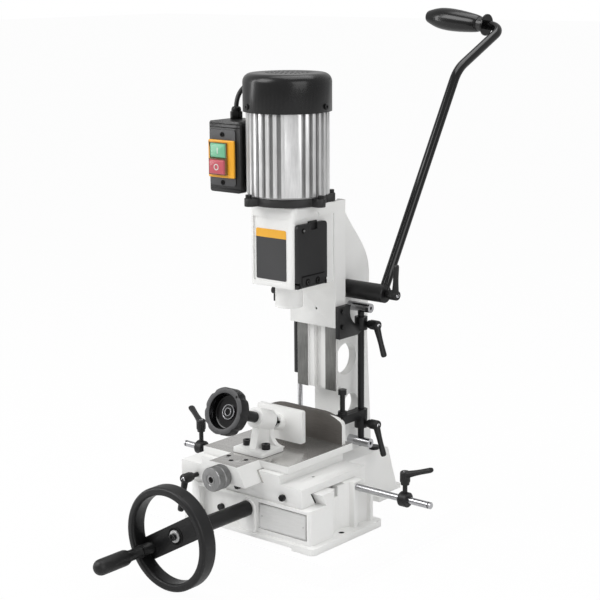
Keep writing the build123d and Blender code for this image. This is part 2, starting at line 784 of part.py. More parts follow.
# Clamp bracket with an inclined screw boss
clamp_plane = Plane(origin=(table_x, clamp_y, clamp_z), x_dir=(1, 0, 0),
                    z_dir=(0, -cos(radians(clamp_tilt)), sin(radians(clamp_tilt))))


def clamp_round(radius, start, end, mode=Mode.ADD):
    with BuildSketch(clamp_plane.offset(start)) as profile:
        Circle(radius)
    extrude(profile.sketch, amount=end - start, mode=mode)


plate_top = table_top + clamp_plate_thick
rib_half = 6.5
stem_half = 8.5
clamp_screw_places = ((-19.0, -34.5), (17.5, -34.5))
clamp_head_radius = 6.5
clamp_head_height = 8.0
clamp_socket = 3.2
wall_thick = 8.0
wall_flare = 18.0
with BuildPart() as bracket:
    block(table_x - clamp_plate_half, table_x + clamp_plate_half, clamp_plate_front, clamp_plate_rear,
          table_top, plate_top)
    fillet(bracket.edges().filter_by(Axis.Z), radius=4)
    prism_x([(clamp_plate_front + 12, plate_top), (clamp_y - 11, clamp_z - 2), (clamp_y + 9, clamp_z - 6),
             (clamp_plate_rear - 6, plate_top)], table_x - rib_half, table_x + rib_half)
    with BuildSketch(Plane.XZ.offset(-clamp_plate_rear)):
        with BuildLine():
            stem_left = table_x - stem_half
            stem_right = table_x + stem_half
            stem_low = plate_top + wall_flare
            Polyline((table_x + clamp_plate_half, plate_top), (table_x + clamp_plate_half, plate_top - 2),
                     (table_x - clamp_plate_half, plate_top - 2), (table_x - clamp_plate_half, plate_top))
            TangentArc((stem_right, stem_low), (table_x + clamp_plate_half, plate_top), tangent=(0, -1))
            Polyline((stem_right, stem_low), (stem_right, clamp_z - 8), (stem_left, clamp_z - 8),
                     (stem_left, stem_low))
            TangentArc((stem_left, stem_low), (table_x - clamp_plate_half, plate_top), tangent=(0, -1))
        make_face()
    extrude(amount=wall_thick)
    clamp_round(clamp_boss_radius, -clamp_boss_half, clamp_boss_half)
    clamp_round(clamp_screw_radius + fit_gap, -clamp_boss_half - wall_thick, clamp_boss_half + 1,
                Mode.SUBTRACT)
    for screw_x, screw_y in clamp_screw_places:
        round_z(screw_radius + seat_gap, table_x + screw_x, screw_y, table_top - 1, plate_top + 1,
                Mode.SUBTRACT)
finish(bracket, "clamp_bracket")

with BuildPart() as table_screws:
    for screw_x, screw_y in clamp_screw_places:
        round_z(screw_radius, table_x + screw_x, screw_y, table_top, plate_top)
        round_z(clamp_head_radius, table_x + screw_x, screw_y, plate_top, plate_top + clamp_head_height)
        round_z(clamp_socket, table_x + screw_x, screw_y, plate_top + clamp_head_height / 2,
                plate_top + clamp_head_height + 1, Mode.SUBTRACT)
    for side in (-1, 1):
        round_z(screw_radius, table_x + side * 42, table_rear - 5.5, table_top, table_top + fence_foot)
        round_z(4.5, table_x + side * 42, table_rear - 5.5, table_top + fence_foot,
                table_top + fence_foot + screw_head_height)
finish(table_screws, "table_screws")

pad_hub_end = -30.0
pad_hub_radius = 12.0
set_screw_radius = 2.4
set_screw_y = 4.0
set_screw_z = clamp_z - (set_screw_y - clamp_y) * tan(radians(clamp_tilt))
with BuildPart() as pad:
    clamp_round(pad_hub_radius, (clamp_y - pad_y - 4) / cos(radians(clamp_tilt)), pad_hub_end)
    block(table_x - pad_half, table_x + pad_half, pad_y, pad_y + pad_thick, pad_bottom, pad_top)
    fillet(pad.edges().filter_by(Axis.Y), radius=3)
    round_x(set_screw_radius, table_x + pad_hub_radius - 4, table_x + pad_hub_radius + 1, set_screw_y,
            set_screw_z,
            Mode.SUBTRACT)
finish(pad, "clamp_pad")

knob_end = knob_reach + knob_length
scallop_radius = 9.0
scallop_depth = 2.0
knob_cup = 24.5
knob_floor = 4.0
knob_boss = 12.0
knob_boss_drop = 13.0
knob_hole = 1.8
knob_hole_reach = 29.5
knob_hole_angle = 50.0
clamp_collar = 10.5
clamp_collar_length = 9.0
with BuildPart() as clamp_screw:
    clamp_round(clamp_screw_radius, pad_hub_end + seat_gap, knob_end - knob_boss_drop + 1)
    clamp_round(clamp_collar, knob_reach - clamp_collar_length, knob_reach - seat_gap)
finish(clamp_screw, "clamp_screw")

with BuildPart() as knob:
    clamp_round(knob_radius, knob_reach, knob_end)
    with BuildSketch(clamp_plane.offset(knob_reach)):
        with PolarLocations(knob_radius + scallop_radius - scallop_depth, knob_lobes):
            Circle(scallop_radius)
    extrude(amount=knob_length, mode=Mode.SUBTRACT)
    clamp_round(knob_cup, knob_reach + knob_floor, knob_end + 1, Mode.SUBTRACT)
    clamp_round(knob_boss, knob_reach + knob_floor - 1, knob_end - knob_boss_drop)
    clamp_round(clamp_screw_radius + seat_gap, knob_reach - 1, knob_end + 1, Mode.SUBTRACT)
    with BuildSketch(clamp_plane.offset(knob_reach + knob_floor)):
        with PolarLocations(knob_hole_reach, 1, start_angle=knob_hole_angle):
            Circle(knob_hole)
    extrude(amount=knob_length, mode=Mode.SUBTRACT)
finish(knob, "clamp_knob")

# Head casting: spindle box in front, female dovetail slide behind
box_front = spindle_y - head_front
box_rear = spindle_y + head_box_rear
slide_rear_y = spindle_y + head_rear
head_left = spindle_x - head_half
head_right = spindle_x + head_half
way_reach = slide_rear_y + 4
way_half_back = column_half - dovetail_lean * (way_reach - way_y) / dovetail_depth
way_side = slide_gap * 1.3
boss_bore = 14.0
spindle_bore = 11.0
pilot_radius = 20.0
lock_screw_z = 346.0
front_panel_left = 7.0
front_panel_right = 14.0
panel_top_drop = 17.5
thumb_radius = 7.0
thumb_y = spindle_y + 12.0
grease_hole = 2.0
grease_x = spindle_x + 7.0
grease_z = slide_low + 26.0
with BuildPart() as head:
    block(head_left, head_right, box_front, box_rear, head_bottom, head_top)
    fillet(head.edges().filter_by(Axis.Z).sort_by(Axis.Y)[:2], radius=7)
    fillet(head.edges().filter_by(Axis.X).sort_by(Axis.Y)[:1], radius=3)
    prism_x([(box_rear - 1, head_top), (box_rear - 1, slide_low), (way_y - 1, slide_low),
             (slide_rear_y, cheek_low), (slide_rear_y, head_top)], head_left, head_right)
    block(head_left + front_panel_left, head_right - front_panel_right, box_front - 1,
          box_front + panel_recess,
          head_bottom + front_panel_left, head_top - panel_top_drop, Mode.SUBTRACT)
    block(head_right - panel_recess, head_right + 1, box_front - 1, box_rear - 3, head_bottom - 1,
          head_top - panel_top_drop, Mode.SUBTRACT)
    round_x(thumb_radius, head_right - panel_recess, head_right + 1, thumb_y, head_top - panel_top_drop,
            Mode.SUBTRACT)
    round_y(grease_hole, grease_x, box_rear - 2, box_rear + 5, grease_z, Mode.SUBTRACT)
    round_z(boss_radius, spindle_x, spindle_y, boss_bottom, head_bottom + 1)
    block(head_left + head_wall, head_right - head_wall, spindle_y + opening_front,
          spindle_y + opening_rear,
          opening_low, head_top - head_wall, Mode.SUBTRACT)
    block(head_right - head_wall - 1, head_right + 1, spindle_y + opening_front, spindle_y + opening_rear,
          opening_low, opening_top, Mode.SUBTRACT)
    round_z(pilot_radius, spindle_x, spindle_y, head_top - head_wall - 1, head_top + 1, Mode.SUBTRACT)
    round_z(spindle_bore, spindle_x, spindle_y, boss_bottom - 1, opening_low + 1, Mode.SUBTRACT)
    round_z(boss_bore + seat_gap, spindle_x, spindle_y, boss_bottom - 1, head_bottom, Mode.SUBTRACT)
    prism_z([(spindle_x - column_half - way_side, way_y - slide_gap),
             (spindle_x + column_half + way_side, way_y - slide_gap),
             (spindle_x + way_half_back + way_side, way_reach),
             (spindle_x - way_half_back - way_side, way_reach)], slide_low - 1, head_top + 1, Mode.SUBTRACT)
    round_x(screw_radius + seat_gap, spindle_x - boss_radius - 1, spindle_x - boss_bore, spindle_y,
            lock_screw_z,
            Mode.SUBTRACT)
finish(head, "head_casting")

# Chisel bush with its flange ring under the boss
with BuildPart() as bush:
    round_z(boss_radius, spindle_x, spindle_y, bush_bottom, boss_bottom)
    round_z(boss_bore, spindle_x, spindle_y, boss_bottom, head_bottom - 1)
    round_z(chisel_radius, spindle_x, spindle_y, bush_bottom - 1, head_bottom, Mode.SUBTRACT)
finish(bush, "chisel_bush")

# Head rack that meets the feed pinion through the column
rack_z0 = slide_low + 9.0
rack_z1 = head_top - 18.0
with BuildPart() as head_rack:
    block(spindle_x - rack_half, spindle_x + rack_half, way_y - slide_gap, rack_tip_y, rack_z0, rack_z1)
    for step in range(int((rack_z1 - rack_z0) / tooth_pitch) - 1):
        tooth_z = rack_z0 + tooth_pitch * (step + 1)
        block(spindle_x - rack_half, spindle_x + rack_half, rack_tip_y - 2, rack_tip_y + 1, tooth_z - 1,
              tooth_z + 1, Mode.SUBTRACT)
finish(head_rack, "head_rack")

# Motor flange with four ears, finned body and fan cover
ear_reach = 64.0
ear_radius = 8.0
ear_length = 16.0
ear_angles = (-110.0, -4.0, 56.0, 160.0)
with BuildPart() as flange:
    round_z(flange_radius, spindle_x, spindle_y, head_top, flange_top)
    with Locations((spindle_x, spindle_y, (head_top + flange_top) / 2)):
        for ear_angle in ear_angles:
            with PolarLocations(ear_reach - ear_length / 2, 1, start_angle=ear_angle):
                Box(ear_length, 2 * ear_radius, flange_height)
            with PolarLocations(ear_reach, 1, start_angle=ear_angle):
                Cylinder(ear_radius, flange_height)
    round_z(motor_shaft_radius + fit_gap, spindle_x, spindle_y, head_top - 1, flange_top + 1, Mode.SUBTRACT)
finish(flange, "motor_flange")

pad_width = 20.0
core_outer = body_radius - fin_depth
end_shield = 9.0
fin_step = 360.0 / fin_count
fin_low = flange_top + 3
fin_high = body_top - 4
with BuildPart() as motor:
    round_z(core_outer, spindle_x, spindle_y, flange_top, body_top)
    with Locations((spindle_x, spindle_y, (fin_low + fin_high) / 2)):
        for number in range(fin_count):
            turn = fin_step * number
            if abs((turn + 45) % 90 - 90 * (((turn + 45) % 90) > 45)) > 10.5:
                with PolarLocations(core_outer + fin_depth / 2 - 0.5, 1, start_angle=turn):
                    Box(fin_depth + 1, fin_thick, fin_high - fin_low)
        with PolarLocations(core_outer + fin_depth / 2 - 1, 4, start_angle=45):
            Box(fin_depth, pad_width, fin_high - fin_low)
    round_z(stator_bore, spindle_x, spindle_y, flange_top - 1, body_top - end_shield, Mode.SUBTRACT)
    round_z(motor_shaft_radius + fit_gap, spindle_x, spindle_y, body_top - end_shield - 1, body_top + 1,
            Mode.SUBTRACT)
finish(motor, "motor_body")

# Stator pressed into the motor body around the rotor
air_gap = 0.6
stator_low = flange_top + 12
stator_high = body_top - end_shield - 4
with BuildPart() as stator:
    round_z(stator_bore - seat_gap, spindle_x, spindle_y, stator_low, stator_high)
    round_z(rotor_radius + air_gap, spindle_x, spindle_y, stator_low - 1, stator_high + 1, Mode.SUBTRACT)
finish(stator, "stator")

cap_low = body_top - 3.5
vent_rings = ((8, 9.0), (14, 16.0), (20, 23.0), (26, 30.0))
vent_radius = 2.2
with BuildPart() as cap:
    with BuildSketch(Plane.XZ.offset(-spindle_y)):
        with BuildLine():
            Polyline((spindle_x + cap_radius - cap_wall, cap_low), (spindle_x + cap_radius, cap_low),
                     (spindle_x + cap_radius, cap_top - cap_shoulder))
            TangentArc((spindle_x + cap_radius, cap_top - cap_shoulder),
                       (spindle_x + cap_radius - cap_shoulder, cap_top), tangent=(0, 1))
            Polyline((spindle_x + cap_radius - cap_shoulder, cap_top), (spindle_x, cap_top),
                     (spindle_x, cap_top - cap_wall), (spindle_x + cap_radius - cap_shoulder,
                                                       cap_top - cap_wall))
            TangentArc((spindle_x + cap_radius - cap_shoulder, cap_top - cap_wall),
                       (spindle_x + cap_radius - cap_wall, cap_top - cap_shoulder), tangent=(1, 0))
            Line((spindle_x + cap_radius - cap_wall, cap_top - cap_shoulder),
                 (spindle_x + cap_radius - cap_wall, cap_low))
        make_face()
    revolve(axis=Axis((spindle_x, spindle_y, 0), (0, 0, 1)))
    with Locations((spindle_x, spindle_y, cap_top)):
        for count, ring in vent_rings:
            with PolarLocations(ring, count):
                Cylinder(vent_radius, 3 * cap_wall, mode=Mode.SUBTRACT)
finish(cap, "fan_cover")

# Spindle: rotor, motor shaft and bit chuck in one turning piece; fan above
chuck_low = opening_low + 8.0
chuck_high = opening_top - 4.0
shank_radius = 4.75
shank_depth = 30.0
fan_low = body_top + 7
with BuildPart() as spindle:
    round_z(motor_shaft_radius, spindle_x, spindle_y, chuck_high - 2, fan_low + 26)
    round_z(rotor_radius, spindle_x, spindle_y, flange_top + 14, body_top - end_shield - 6)
    round_z(chuck_radius, spindle_x, spindle_y, chuck_low + 10, chuck_high)
    with Locations((spindle_x, spindle_y, chuck_low)):
        Cone(9, chuck_radius, 10, align=(Align.CENTER, Align.CENTER, Align.MIN))
    round_z(shank_radius, spindle_x, spindle_y, chuck_low - 1, chuck_low + shank_depth, Mode.SUBTRACT)
finish(spindle, "spindle")

fan_blades = 8
with BuildPart() as fan:
    round_z(fan_radius, spindle_x, spindle_y, fan_low, fan_low + 3)
    round_z(15, spindle_x, spindle_y, fan_low, fan_low + 22)
    with Locations((spindle_x, spindle_y, fan_low + 11)):
        with PolarLocations(31, fan_blades):
            Box(36, 2, 22)
    round_z(motor_shaft_radius + seat_gap, spindle_x, spindle_y, fan_low - 1, fan_low + 23, Mode.SUBTRACT)
finish(fan, "cooling_fan")

# Side cover that drops open on a hinge along its lower edge
cover_y0 = spindle_y + cover_front
cover_y1 = spindle_y + cover_rear
cover_gap = 0.3
cover_corner = 6.0
cover_face = head_right - panel_recess
latch_floor = 2.0
latch_y0 = spindle_y - 5.0
latch_y1 = spindle_y + 9.0
latch_drop = 10.0
lug_half = 1.7
lug_inset = 2.0
hinge_pin = 1.5
barrel_radius = 3.0
hinge_x = cover_face + barrel_radius + 2 * cover_gap
hinge_z = cover_low + hinge_lift
lug_places = (cover_y0 + lug_inset, cover_y1 - lug_inset)
with BuildPart() as cover:
    block(cover_face + cover_gap, cover_face + cover_thick, cover_y0, cover_y1, cover_low + hinge_lift,
          cover_top)
    fillet(cover.edges().filter_by(Axis.X), radius=cover_corner)
    block(cover_face + latch_floor, cover_face + cover_thick + 1, latch_y0, latch_y1, cover_top - latch_drop,
          cover_top + 1, Mode.SUBTRACT)
    block(cover_face + cover_gap, cover_face + latch_floor + 1, latch_y0 - 1.5, latch_y1 + 3,
          cover_top - 1, cover_top + 2.5)
    for lug_y in lug_places:
        block(cover_face, cover_face + cover_thick + 1, lug_y - lug_half - 2, lug_y + lug_half + 2,
              hinge_z - 2 * barrel_radius, hinge_z + 2 * barrel_radius, Mode.SUBTRACT)
    round_y(barrel_radius, hinge_x, cover_y0 + 6, cover_y1 - 6, hinge_z)
    round_y(hinge_pin + fit_gap, hinge_x, cover_y0, cover_y1, hinge_z, Mode.SUBTRACT)
finish(cover, "side_cover")

# Switch box on the motor's left side, with panel and two buttons
box_x0 = spindle_x + switch_left
box_x1 = spindle_x + switch_right
box_y0 = spindle_y + switch_front
box_y1 = spindle_y + switch_rear
button_x0 = spindle_x + button_left
button_x1 = spindle_x + button_right
button_deep = 8.0
button_proud = 3.5
switch_neck_half = 12.0
gland_x = spindle_x - 100
gland_y = spindle_y
face_x1 = spindle_x + switch_face_right
face_y1 = spindle_y + switch_face_rear
backing_x0 = spindle_x + backing_left
backing_x1 = spindle_x + backing_right
backing_y = box_y0 - backing_proud
with BuildPart() as switch_box:
    block(box_x0, face_x1, box_y0, face_y1, switch_low, switch_top)
    block(box_x0, box_x1, face_y1, box_y1, switch_low, switch_top)
    fillet(switch_box.edges().filter_by(Axis.Y), radius=4)
    with BuildSketch(Plane.XZ.offset(-box_y0)):
        with Locations(((backing_x0 + backing_x1) / 2, backing_low + backing_height / 2)):
            RectangleRounded(backing_x1 - backing_x0, backing_height, backing_corner)
    extrude(amount=backing_proud)
    block(box_x1 - 1, spindle_x - body_radius - slide_gap, spindle_y - switch_neck_half,
          spindle_y + switch_neck_half, switch_low + 20, switch_top - 20)
    for button_z in (start_z, stop_z):
        block(button_x0 - slide_gap, button_x1 + slide_gap, backing_y - 1,
              box_y0 + button_deep + button_travel + 1,
              button_z - button_height / 2 - slide_gap, button_z + button_height / 2 + slide_gap,
              Mode.SUBTRACT)
finish(switch_box, "switch_box")

with BuildPart() as panel:
    block(backing_x0, backing_x1, backing_y - panel_thick, backing_y, panel_low, panel_low + panel_height)
    fillet(panel.edges().filter_by(Axis.Y), radius=2)
    for button_z in (start_z, stop_z):
        block(button_x0 - slide_gap, button_x1 + slide_gap, backing_y - panel_thick - 1, backing_y + 1,
              button_z - button_height / 2 - slide_gap, button_z + button_height / 2 + slide_gap,
              Mode.SUBTRACT)
finish(panel, "switch_panel")

stop_proud = 6.5
button_edge = 1.7
for button_name, button_z, proud in (("start_button", start_z, button_proud), ("stop_button", stop_z,
                                                                               stop_proud)):
    with BuildPart() as button:
        block(button_x0, button_x1, backing_y - panel_thick - proud, box_y0 + button_deep,
              button_z - button_height / 2, button_z + button_height / 2)
        fillet(button.edges().filter_by(Axis.Y), radius=2)
        chamfer(button.faces().sort_by(Axis.Y)[0].edges(), length=button_edge)
    finish(button, button_name)

lead_radius = 3.5
gland_height = 18.0
gland_hex = 9.5
gland_dome = 7.0
with BuildPart() as gland:
    with BuildSketch(Plane.XY.offset(switch_top)):
        with Locations((gland_x, gland_y)):
            RegularPolygon(gland_hex, 6)
    extrude(amount=gland_height * 0.6)
    round_z(gland_dome, gland_x, gland_y, switch_top, switch_top + gland_height)
finish(gland, "lead_gland")

# Lead from the switch box to the motor, straight runs joined by wide arcs
gland_top = switch_top + gland_height
lead_in_z = body_top - 20.5
lead_points = [Vector(gland_x, gland_y, gland_top), Vector(gland_x, gland_y, gland_top + 20),
               Vector(gland_x + 5, gland_y + 40, gland_top + 40),
               Vector(spindle_x - 73, spindle_y + 66, gland_top + 16),
               Vector(spindle_x - 57, spindle_y + 51, lead_in_z + 4),
               Vector(spindle_x - 46.6, spindle_y + 41.6, lead_in_z)]
lead_radii = []
for before, here, after in zip(lead_points, lead_points[1:], lead_points[2:]):
    turn = (here - before).get_angle(after - here)
    shorter = min((here - before).length, (after - here).length)
    lead_radii.append(0.45 * shorter / tan(radians(turn / 2)))
print("lead radii", [round(radius, 1) for radius in lead_radii])
with BuildPart() as lead:
    with BuildLine() as route:
        FilletPolyline(*lead_points, radius=lead_radii)
    with BuildSketch(Plane.XY.offset(gland_top)):
        with Locations((gland_x, gland_y)):
            Circle(lead_radius)
    sweep()
finish(lead, "motor_lead")
lead_length = route.wire().length
print("lead length", round(lead_length, 1), "volume ratio",
      round(lead.part.volume / (lead_length * pi * lead_radius ** 2), 4))

# Feed: pinion shaft in the column, hub, bent arm and turning grip
feed_teeth = 36
hub_start = rib_right + 1.5
with BuildPart() as feed_pinion:
    round_x(feed_shaft_radius, left_outer - 3, hub_end - 24, feed_y, feed_z)
    round_x(feed_tip, spindle_x - feed_pinion_half, spindle_x + feed_pinion_half, feed_y, feed_z)
    with BuildSketch(Plane.YZ.offset(spindle_x - feed_pinion_half)):
        with Locations((feed_y, feed_z)):
            with PolarLocations(feed_tip, feed_teeth):
                Rectangle(2 * tooth_depth, 2.4)
    extrude(amount=2 * feed_pinion_half, mode=Mode.SUBTRACT)
finish(feed_pinion, "feed_pinion")

arm_foot = Vector(arm_x, feed_y, feed_z)
arm_bend = Vector(arm_x, arm_bend_y, arm_bend_z)
arm_dir = (arm_bend - arm_foot).normalized()
arm_start = arm_foot + arm_dir * 6
lock_stud = 12.0
with BuildPart() as hub:
    round_x(hub_radius, hub_start, hub_end, feed_y, feed_z)
    chamfer(hub.edges().filter_by(GeomType.CIRCLE), length=1.5)
    round_x(feed_shaft_radius + seat_gap, hub_start - 1, hub_end - 23.5, feed_y, feed_z, Mode.SUBTRACT)
    round_x(stud_radius + fit_gap, hub_end - lock_stud, hub_end + 1, feed_y, feed_z, Mode.SUBTRACT)
    with BuildSketch(Plane(origin=arm_start, z_dir=arm_dir)):
        Circle(arm_radius + seat_gap)
    extrude(amount=2 * hub_radius, mode=Mode.SUBTRACT)
finish(hub, "feed_hub")

arm_corner = Vector(arm_x, arm_corner_y, arm_corner_z)
grip_dir = Vector(-cos(radians(handle_tilt)), 0, sin(radians(handle_tilt)))
grip_plane = Plane(origin=arm_corner, x_dir=grip_dir,
                   z_dir=(sin(radians(handle_tilt)), 0, cos(radians(handle_tilt))))
grip_axis = Axis(arm_corner, grip_dir)
ring_start = arm_turn + 4
pin_head_length = 3.0
pin_head = core_radius + 3
handle_end = ring_start + handle_length


def grip_round(radius, near, far, mode=Mode.ADD):
    with Locations(Plane(origin=arm_corner + grip_dir * near, z_dir=grip_dir)):
        Cylinder(radius, far - near, align=(Align.CENTER, Align.CENTER, Align.MIN), mode=mode)


with BuildPart() as arm:
    with BuildLine():
        FilletPolyline(arm_start, arm_bend, arm_corner, arm_corner + grip_dir * (ring_start - slide_gap),
                       radius=[60, arm_turn])
    with BuildSketch(Plane(origin=arm_start, z_dir=arm_dir)):
        Circle(arm_radius)
    sweep()
    grip_round(core_radius, ring_start - 2, handle_end - pin_head_length)
    grip_round(pin_head, handle_end - 2 * pin_head_length, handle_end - pin_head_length)
finish(arm, "feed_arm")

# Grip: thin ring, ferrule and a barrel that swells towards its free end
ring_radius = 0.96 * handle_radius
ring_length = 3.2
ferrule_radius = 0.66 * handle_radius
ferrule_end = ring_start + ring_length + 12
shoulder_radius = 0.79 * handle_radius
end_radius = 0.5 * handle_radius
with BuildPart() as handle:
    with BuildSketch(grip_plane):
        with BuildLine():
            Polyline((handle_end, end_radius), (handle_end, 0), (ring_start, 0), (ring_start, ring_radius),
                     (ring_start + ring_length, ring_radius), (ring_start + ring_length, ferrule_radius),
                     (ferrule_end, ferrule_radius), (ferrule_end, shoulder_radius))
            Spline((ferrule_end, shoulder_radius),
                   (ring_start + 0.36 * handle_length, 0.93 * handle_radius),
                   (ring_start + 0.6 * handle_length, handle_radius),
                   (ring_start + 0.86 * handle_length, 0.82 * handle_radius),
                   (handle_end, end_radius))
        make_face()
    revolve(axis=grip_axis)
    grip_round(core_radius + fit_gap, ring_start - 1, handle_end + 1, Mode.SUBTRACT)
    grip_round(pin_head + slide_gap, handle_end - 2 * pin_head_length - slide_gap, handle_end + 1,
               Mode.SUBTRACT)
finish(handle, "feed_handle")

# Depth stop: bracket on the head, stop block on the rod, fine adjusting bolt
bracket_x1 = head_right + bracket_thick
bracket_lever_z = (sleeve_low + sleeve_top) / 2
stop_lever_z = (stop_low + stop_top - bar_height) / 2
stud_in = collar_radius - rod_radius - 0.6
with BuildPart() as stop_bracket:
    with BuildSketch(Plane.YZ.offset(head_right)):
        with BuildLine():
            inner_y = rod_y - collar_radius + 2
            Polyline((bracket_web_rear, bracket_top), (bracket_front, bracket_top), (bracket_front,
                                                                                     bracket_low),
                     (inner_y - 4, bracket_low), (rod_y, sleeve_low), (rod_y, sleeve_low + 10),
                     (inner_y, sleeve_low + 10))
            TangentArc((inner_y, sleeve_low + 10), (bracket_web_rear, bracket_top), tangent=(-1, 0))
        make_face()
    extrude(amount=bracket_thick)
    round_z(collar_radius, rod_x, rod_y, sleeve_low, sleeve_top)
    round_z(rod_radius + fit_gap, rod_x, rod_y, bracket_low - 1, sleeve_top + 1, Mode.SUBTRACT)
    round_x(stud_radius + fit_gap, rod_x, rod_x + collar_radius + 1, rod_y, bracket_lever_z, Mode.SUBTRACT)
finish(stop_bracket, "stop_bracket")

bar_half = 8.0
bar_front = stop_bolt_y - 8
bar_low = stop_top - bar_height
with BuildPart() as stop_block:
    round_z(collar_radius, rod_x, rod_y, stop_low, stop_top)
    block(rod_x - bar_half, rod_x + bar_half, bar_front, rod_y, bar_low, stop_top)
    round_z(rod_radius + fit_gap, rod_x, rod_y, stop_low - 1, stop_top + 1, Mode.SUBTRACT)
    round_z(stop_bolt_radius + fit_gap, rod_x, stop_bolt_y, bar_low - 1, stop_top + 1, Mode.SUBTRACT)
    round_x(stud_radius + fit_gap, rod_x, rod_x + collar_radius + 1, rod_y, stop_lever_z, Mode.SUBTRACT)
finish(stop_block, "stop_block")

bolt_head = 8.0
bolt_tail = 3.0
with BuildPart() as stop_bolt:
    round_z(stop_bolt_radius, rod_x, stop_bolt_y, bar_low - bolt_tail, stop_bolt_top - bolt_head)
    with BuildSketch(Plane.XY.offset(stop_bolt_top - bolt_head)):
        with Locations((rod_x, stop_bolt_y)):
            RegularPolygon(7, 6)
    extrude(amount=bolt_head)
    with BuildSketch(Plane.XY.offset(stop_top + seat_gap)):
        with Locations((rod_x, stop_bolt_y)):
            RegularPolygon(7.5, 6)
    extrude(amount=6)
finish(stop_bolt, "stop_bolt")

# Travel stop collars
for collar_name, collar_x in (("left_travel_collar", left_collar_x), ("right_travel_collar",
                                                                      right_collar_x)):
    with BuildPart() as collar:
        round_x(travel_collar_radius, collar_x - travel_collar_half, collar_x + travel_collar_half,
                stop_rod_y,
                stop_rod_z)
        chamfer(collar.edges().filter_by(GeomType.CIRCLE), length=1)
        round_x(stop_rod_radius + fit_gap, collar_x - 10, collar_x + 10, stop_rod_y, stop_rod_z,
                Mode.SUBTRACT)
        round_z(stud_radius + fit_gap, collar_x, stop_rod_y, stop_rod_z,
                stop_rod_z + travel_collar_radius + 1,
                Mode.SUBTRACT)
    finish(collar, collar_name)


# Clamping levers: stud, hub and a tapered arm
def clamping_lever(label, place, stud_axis, arm_axis, inside, neck, rise):
    with BuildPart(Plane(origin=place, x_dir=arm_axis, z_dir=stud_axis)) as lever:
        with Locations((0, 0, (neck - inside) / 2)):
            Cylinder(stud_radius, neck + inside)
        with Locations((0, 0, neck + lever_hub_length / 2)):
            Cylinder(lever_hub_radius, lever_hub_length)
        with Locations(Location((0, 0, neck + lever_hub_length - lever_arm_radius - 1), (0, 90 - rise, 0))):
            Cone(lever_arm_radius, lever_arm_radius * 1.25, lever_arm_length,
                 align=(Align.CENTER, Align.CENTER, Align.MIN))
    finish(lever, label)


travel_in = travel_collar_radius - stop_rod_radius - 0.6
travel_up = stop_rod_z + travel_collar_radius
clamping_lever("left_travel_lever", (left_collar_x, stop_rod_y, travel_up), (0, 0, 1), (-0.89, 0.46, 0),
               travel_in, 15, 16)
clamping_lever("right_travel_lever", (right_collar_x, stop_rod_y, travel_up), (0, 0, 1), (1, 0, 0),
               travel_in, 11, 20)
clamping_lever("bracket_lever", (rod_x + collar_radius, rod_y, bracket_lever_z), (1, 0, 0), (0, 0, -1),
               stud_in, 5,
               18)
clamping_lever("stop_lever", (rod_x + collar_radius, rod_y, stop_lever_z), (1, 0, 0), (0, 0, -1), stud_in,
               5, 18)
clamping_lever("saddle_lever", (lock_x, -saddle_half_y, lock_z), (0, -1, 0), (0, 0, -1), lock_depth, 12, 14)
clamping_lever("hub_lever", (hub_end, feed_y, feed_z), (1, 0, 0), (0, -0.2, 0.98), lock_stud - 0.5, 2, 10)

# Gas spring cylinder pinned to the head's left cheek
gas_pin_z = 318.0
gas_bore_top = gas_top - 6
with BuildPart() as gas_cylinder:
    round_z(gas_radius, gas_x, gas_y, gas_low, gas_top)
    round_z(gas_rod_radius + fit_gap, gas_x, gas_y, gas_low - 1, gas_bore_top, Mode.SUBTRACT)
    block(gas_x - 6, head_left, slide_rear_y - 14, gas_y, gas_pin_z + 8, gas_pin_z + 20)
finish(gas_cylinder, "gas_spring_cylinder")

# Fasteners carried by the head: motor ear bolts, bracket screws, chisel lock screw, cover hinge pin and lugs
ear_bolt_radius = 4.5
ear_bolt_height = 5.0
lock_head = 5.5
lock_pin = 2.6
lock_pin_drop = 16.0
with BuildPart() as head_fasteners:
    round_y(hinge_pin, hinge_x, cover_y0 + 1, cover_y1 - 1, hinge_z)
    for lug_y in lug_places:
        block(cover_face, hinge_x + lug_inset, lug_y - lug_half, lug_y + lug_half, hinge_z - barrel_radius,
              hinge_z + barrel_radius)
    with Locations((spindle_x, spindle_y, flange_top + ear_bolt_height / 2)):
        for ear_angle in ear_angles:
            with PolarLocations(ear_reach + 2, 1, start_angle=ear_angle):
                Cylinder(ear_bolt_radius, ear_bolt_height)
    for screw_y, screw_z in ((bracket_front + 7, bracket_top - 8), (bracket_front + 7, sleeve_top - 8)):
        round_x(4, bracket_x1, bracket_x1 + 3, screw_y, screw_z)
    round_x(screw_radius, spindle_x - boss_radius - 6, spindle_x - boss_bore - 0.1, spindle_y, lock_screw_z)
    round_x(lock_head, spindle_x - boss_radius - 10, spindle_x - boss_radius - 3, spindle_y, lock_screw_z)
    round_z(lock_pin, spindle_x - boss_radius - 6.5, spindle_y, lock_screw_z - lock_pin_drop, lock_screw_z)
finish(head_fasteners, "head_fasteners")
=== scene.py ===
import bmesh
import bpy
from math import atan2, cos, hypot, pi, radians, sin
from mathutils import Matrix, Vector


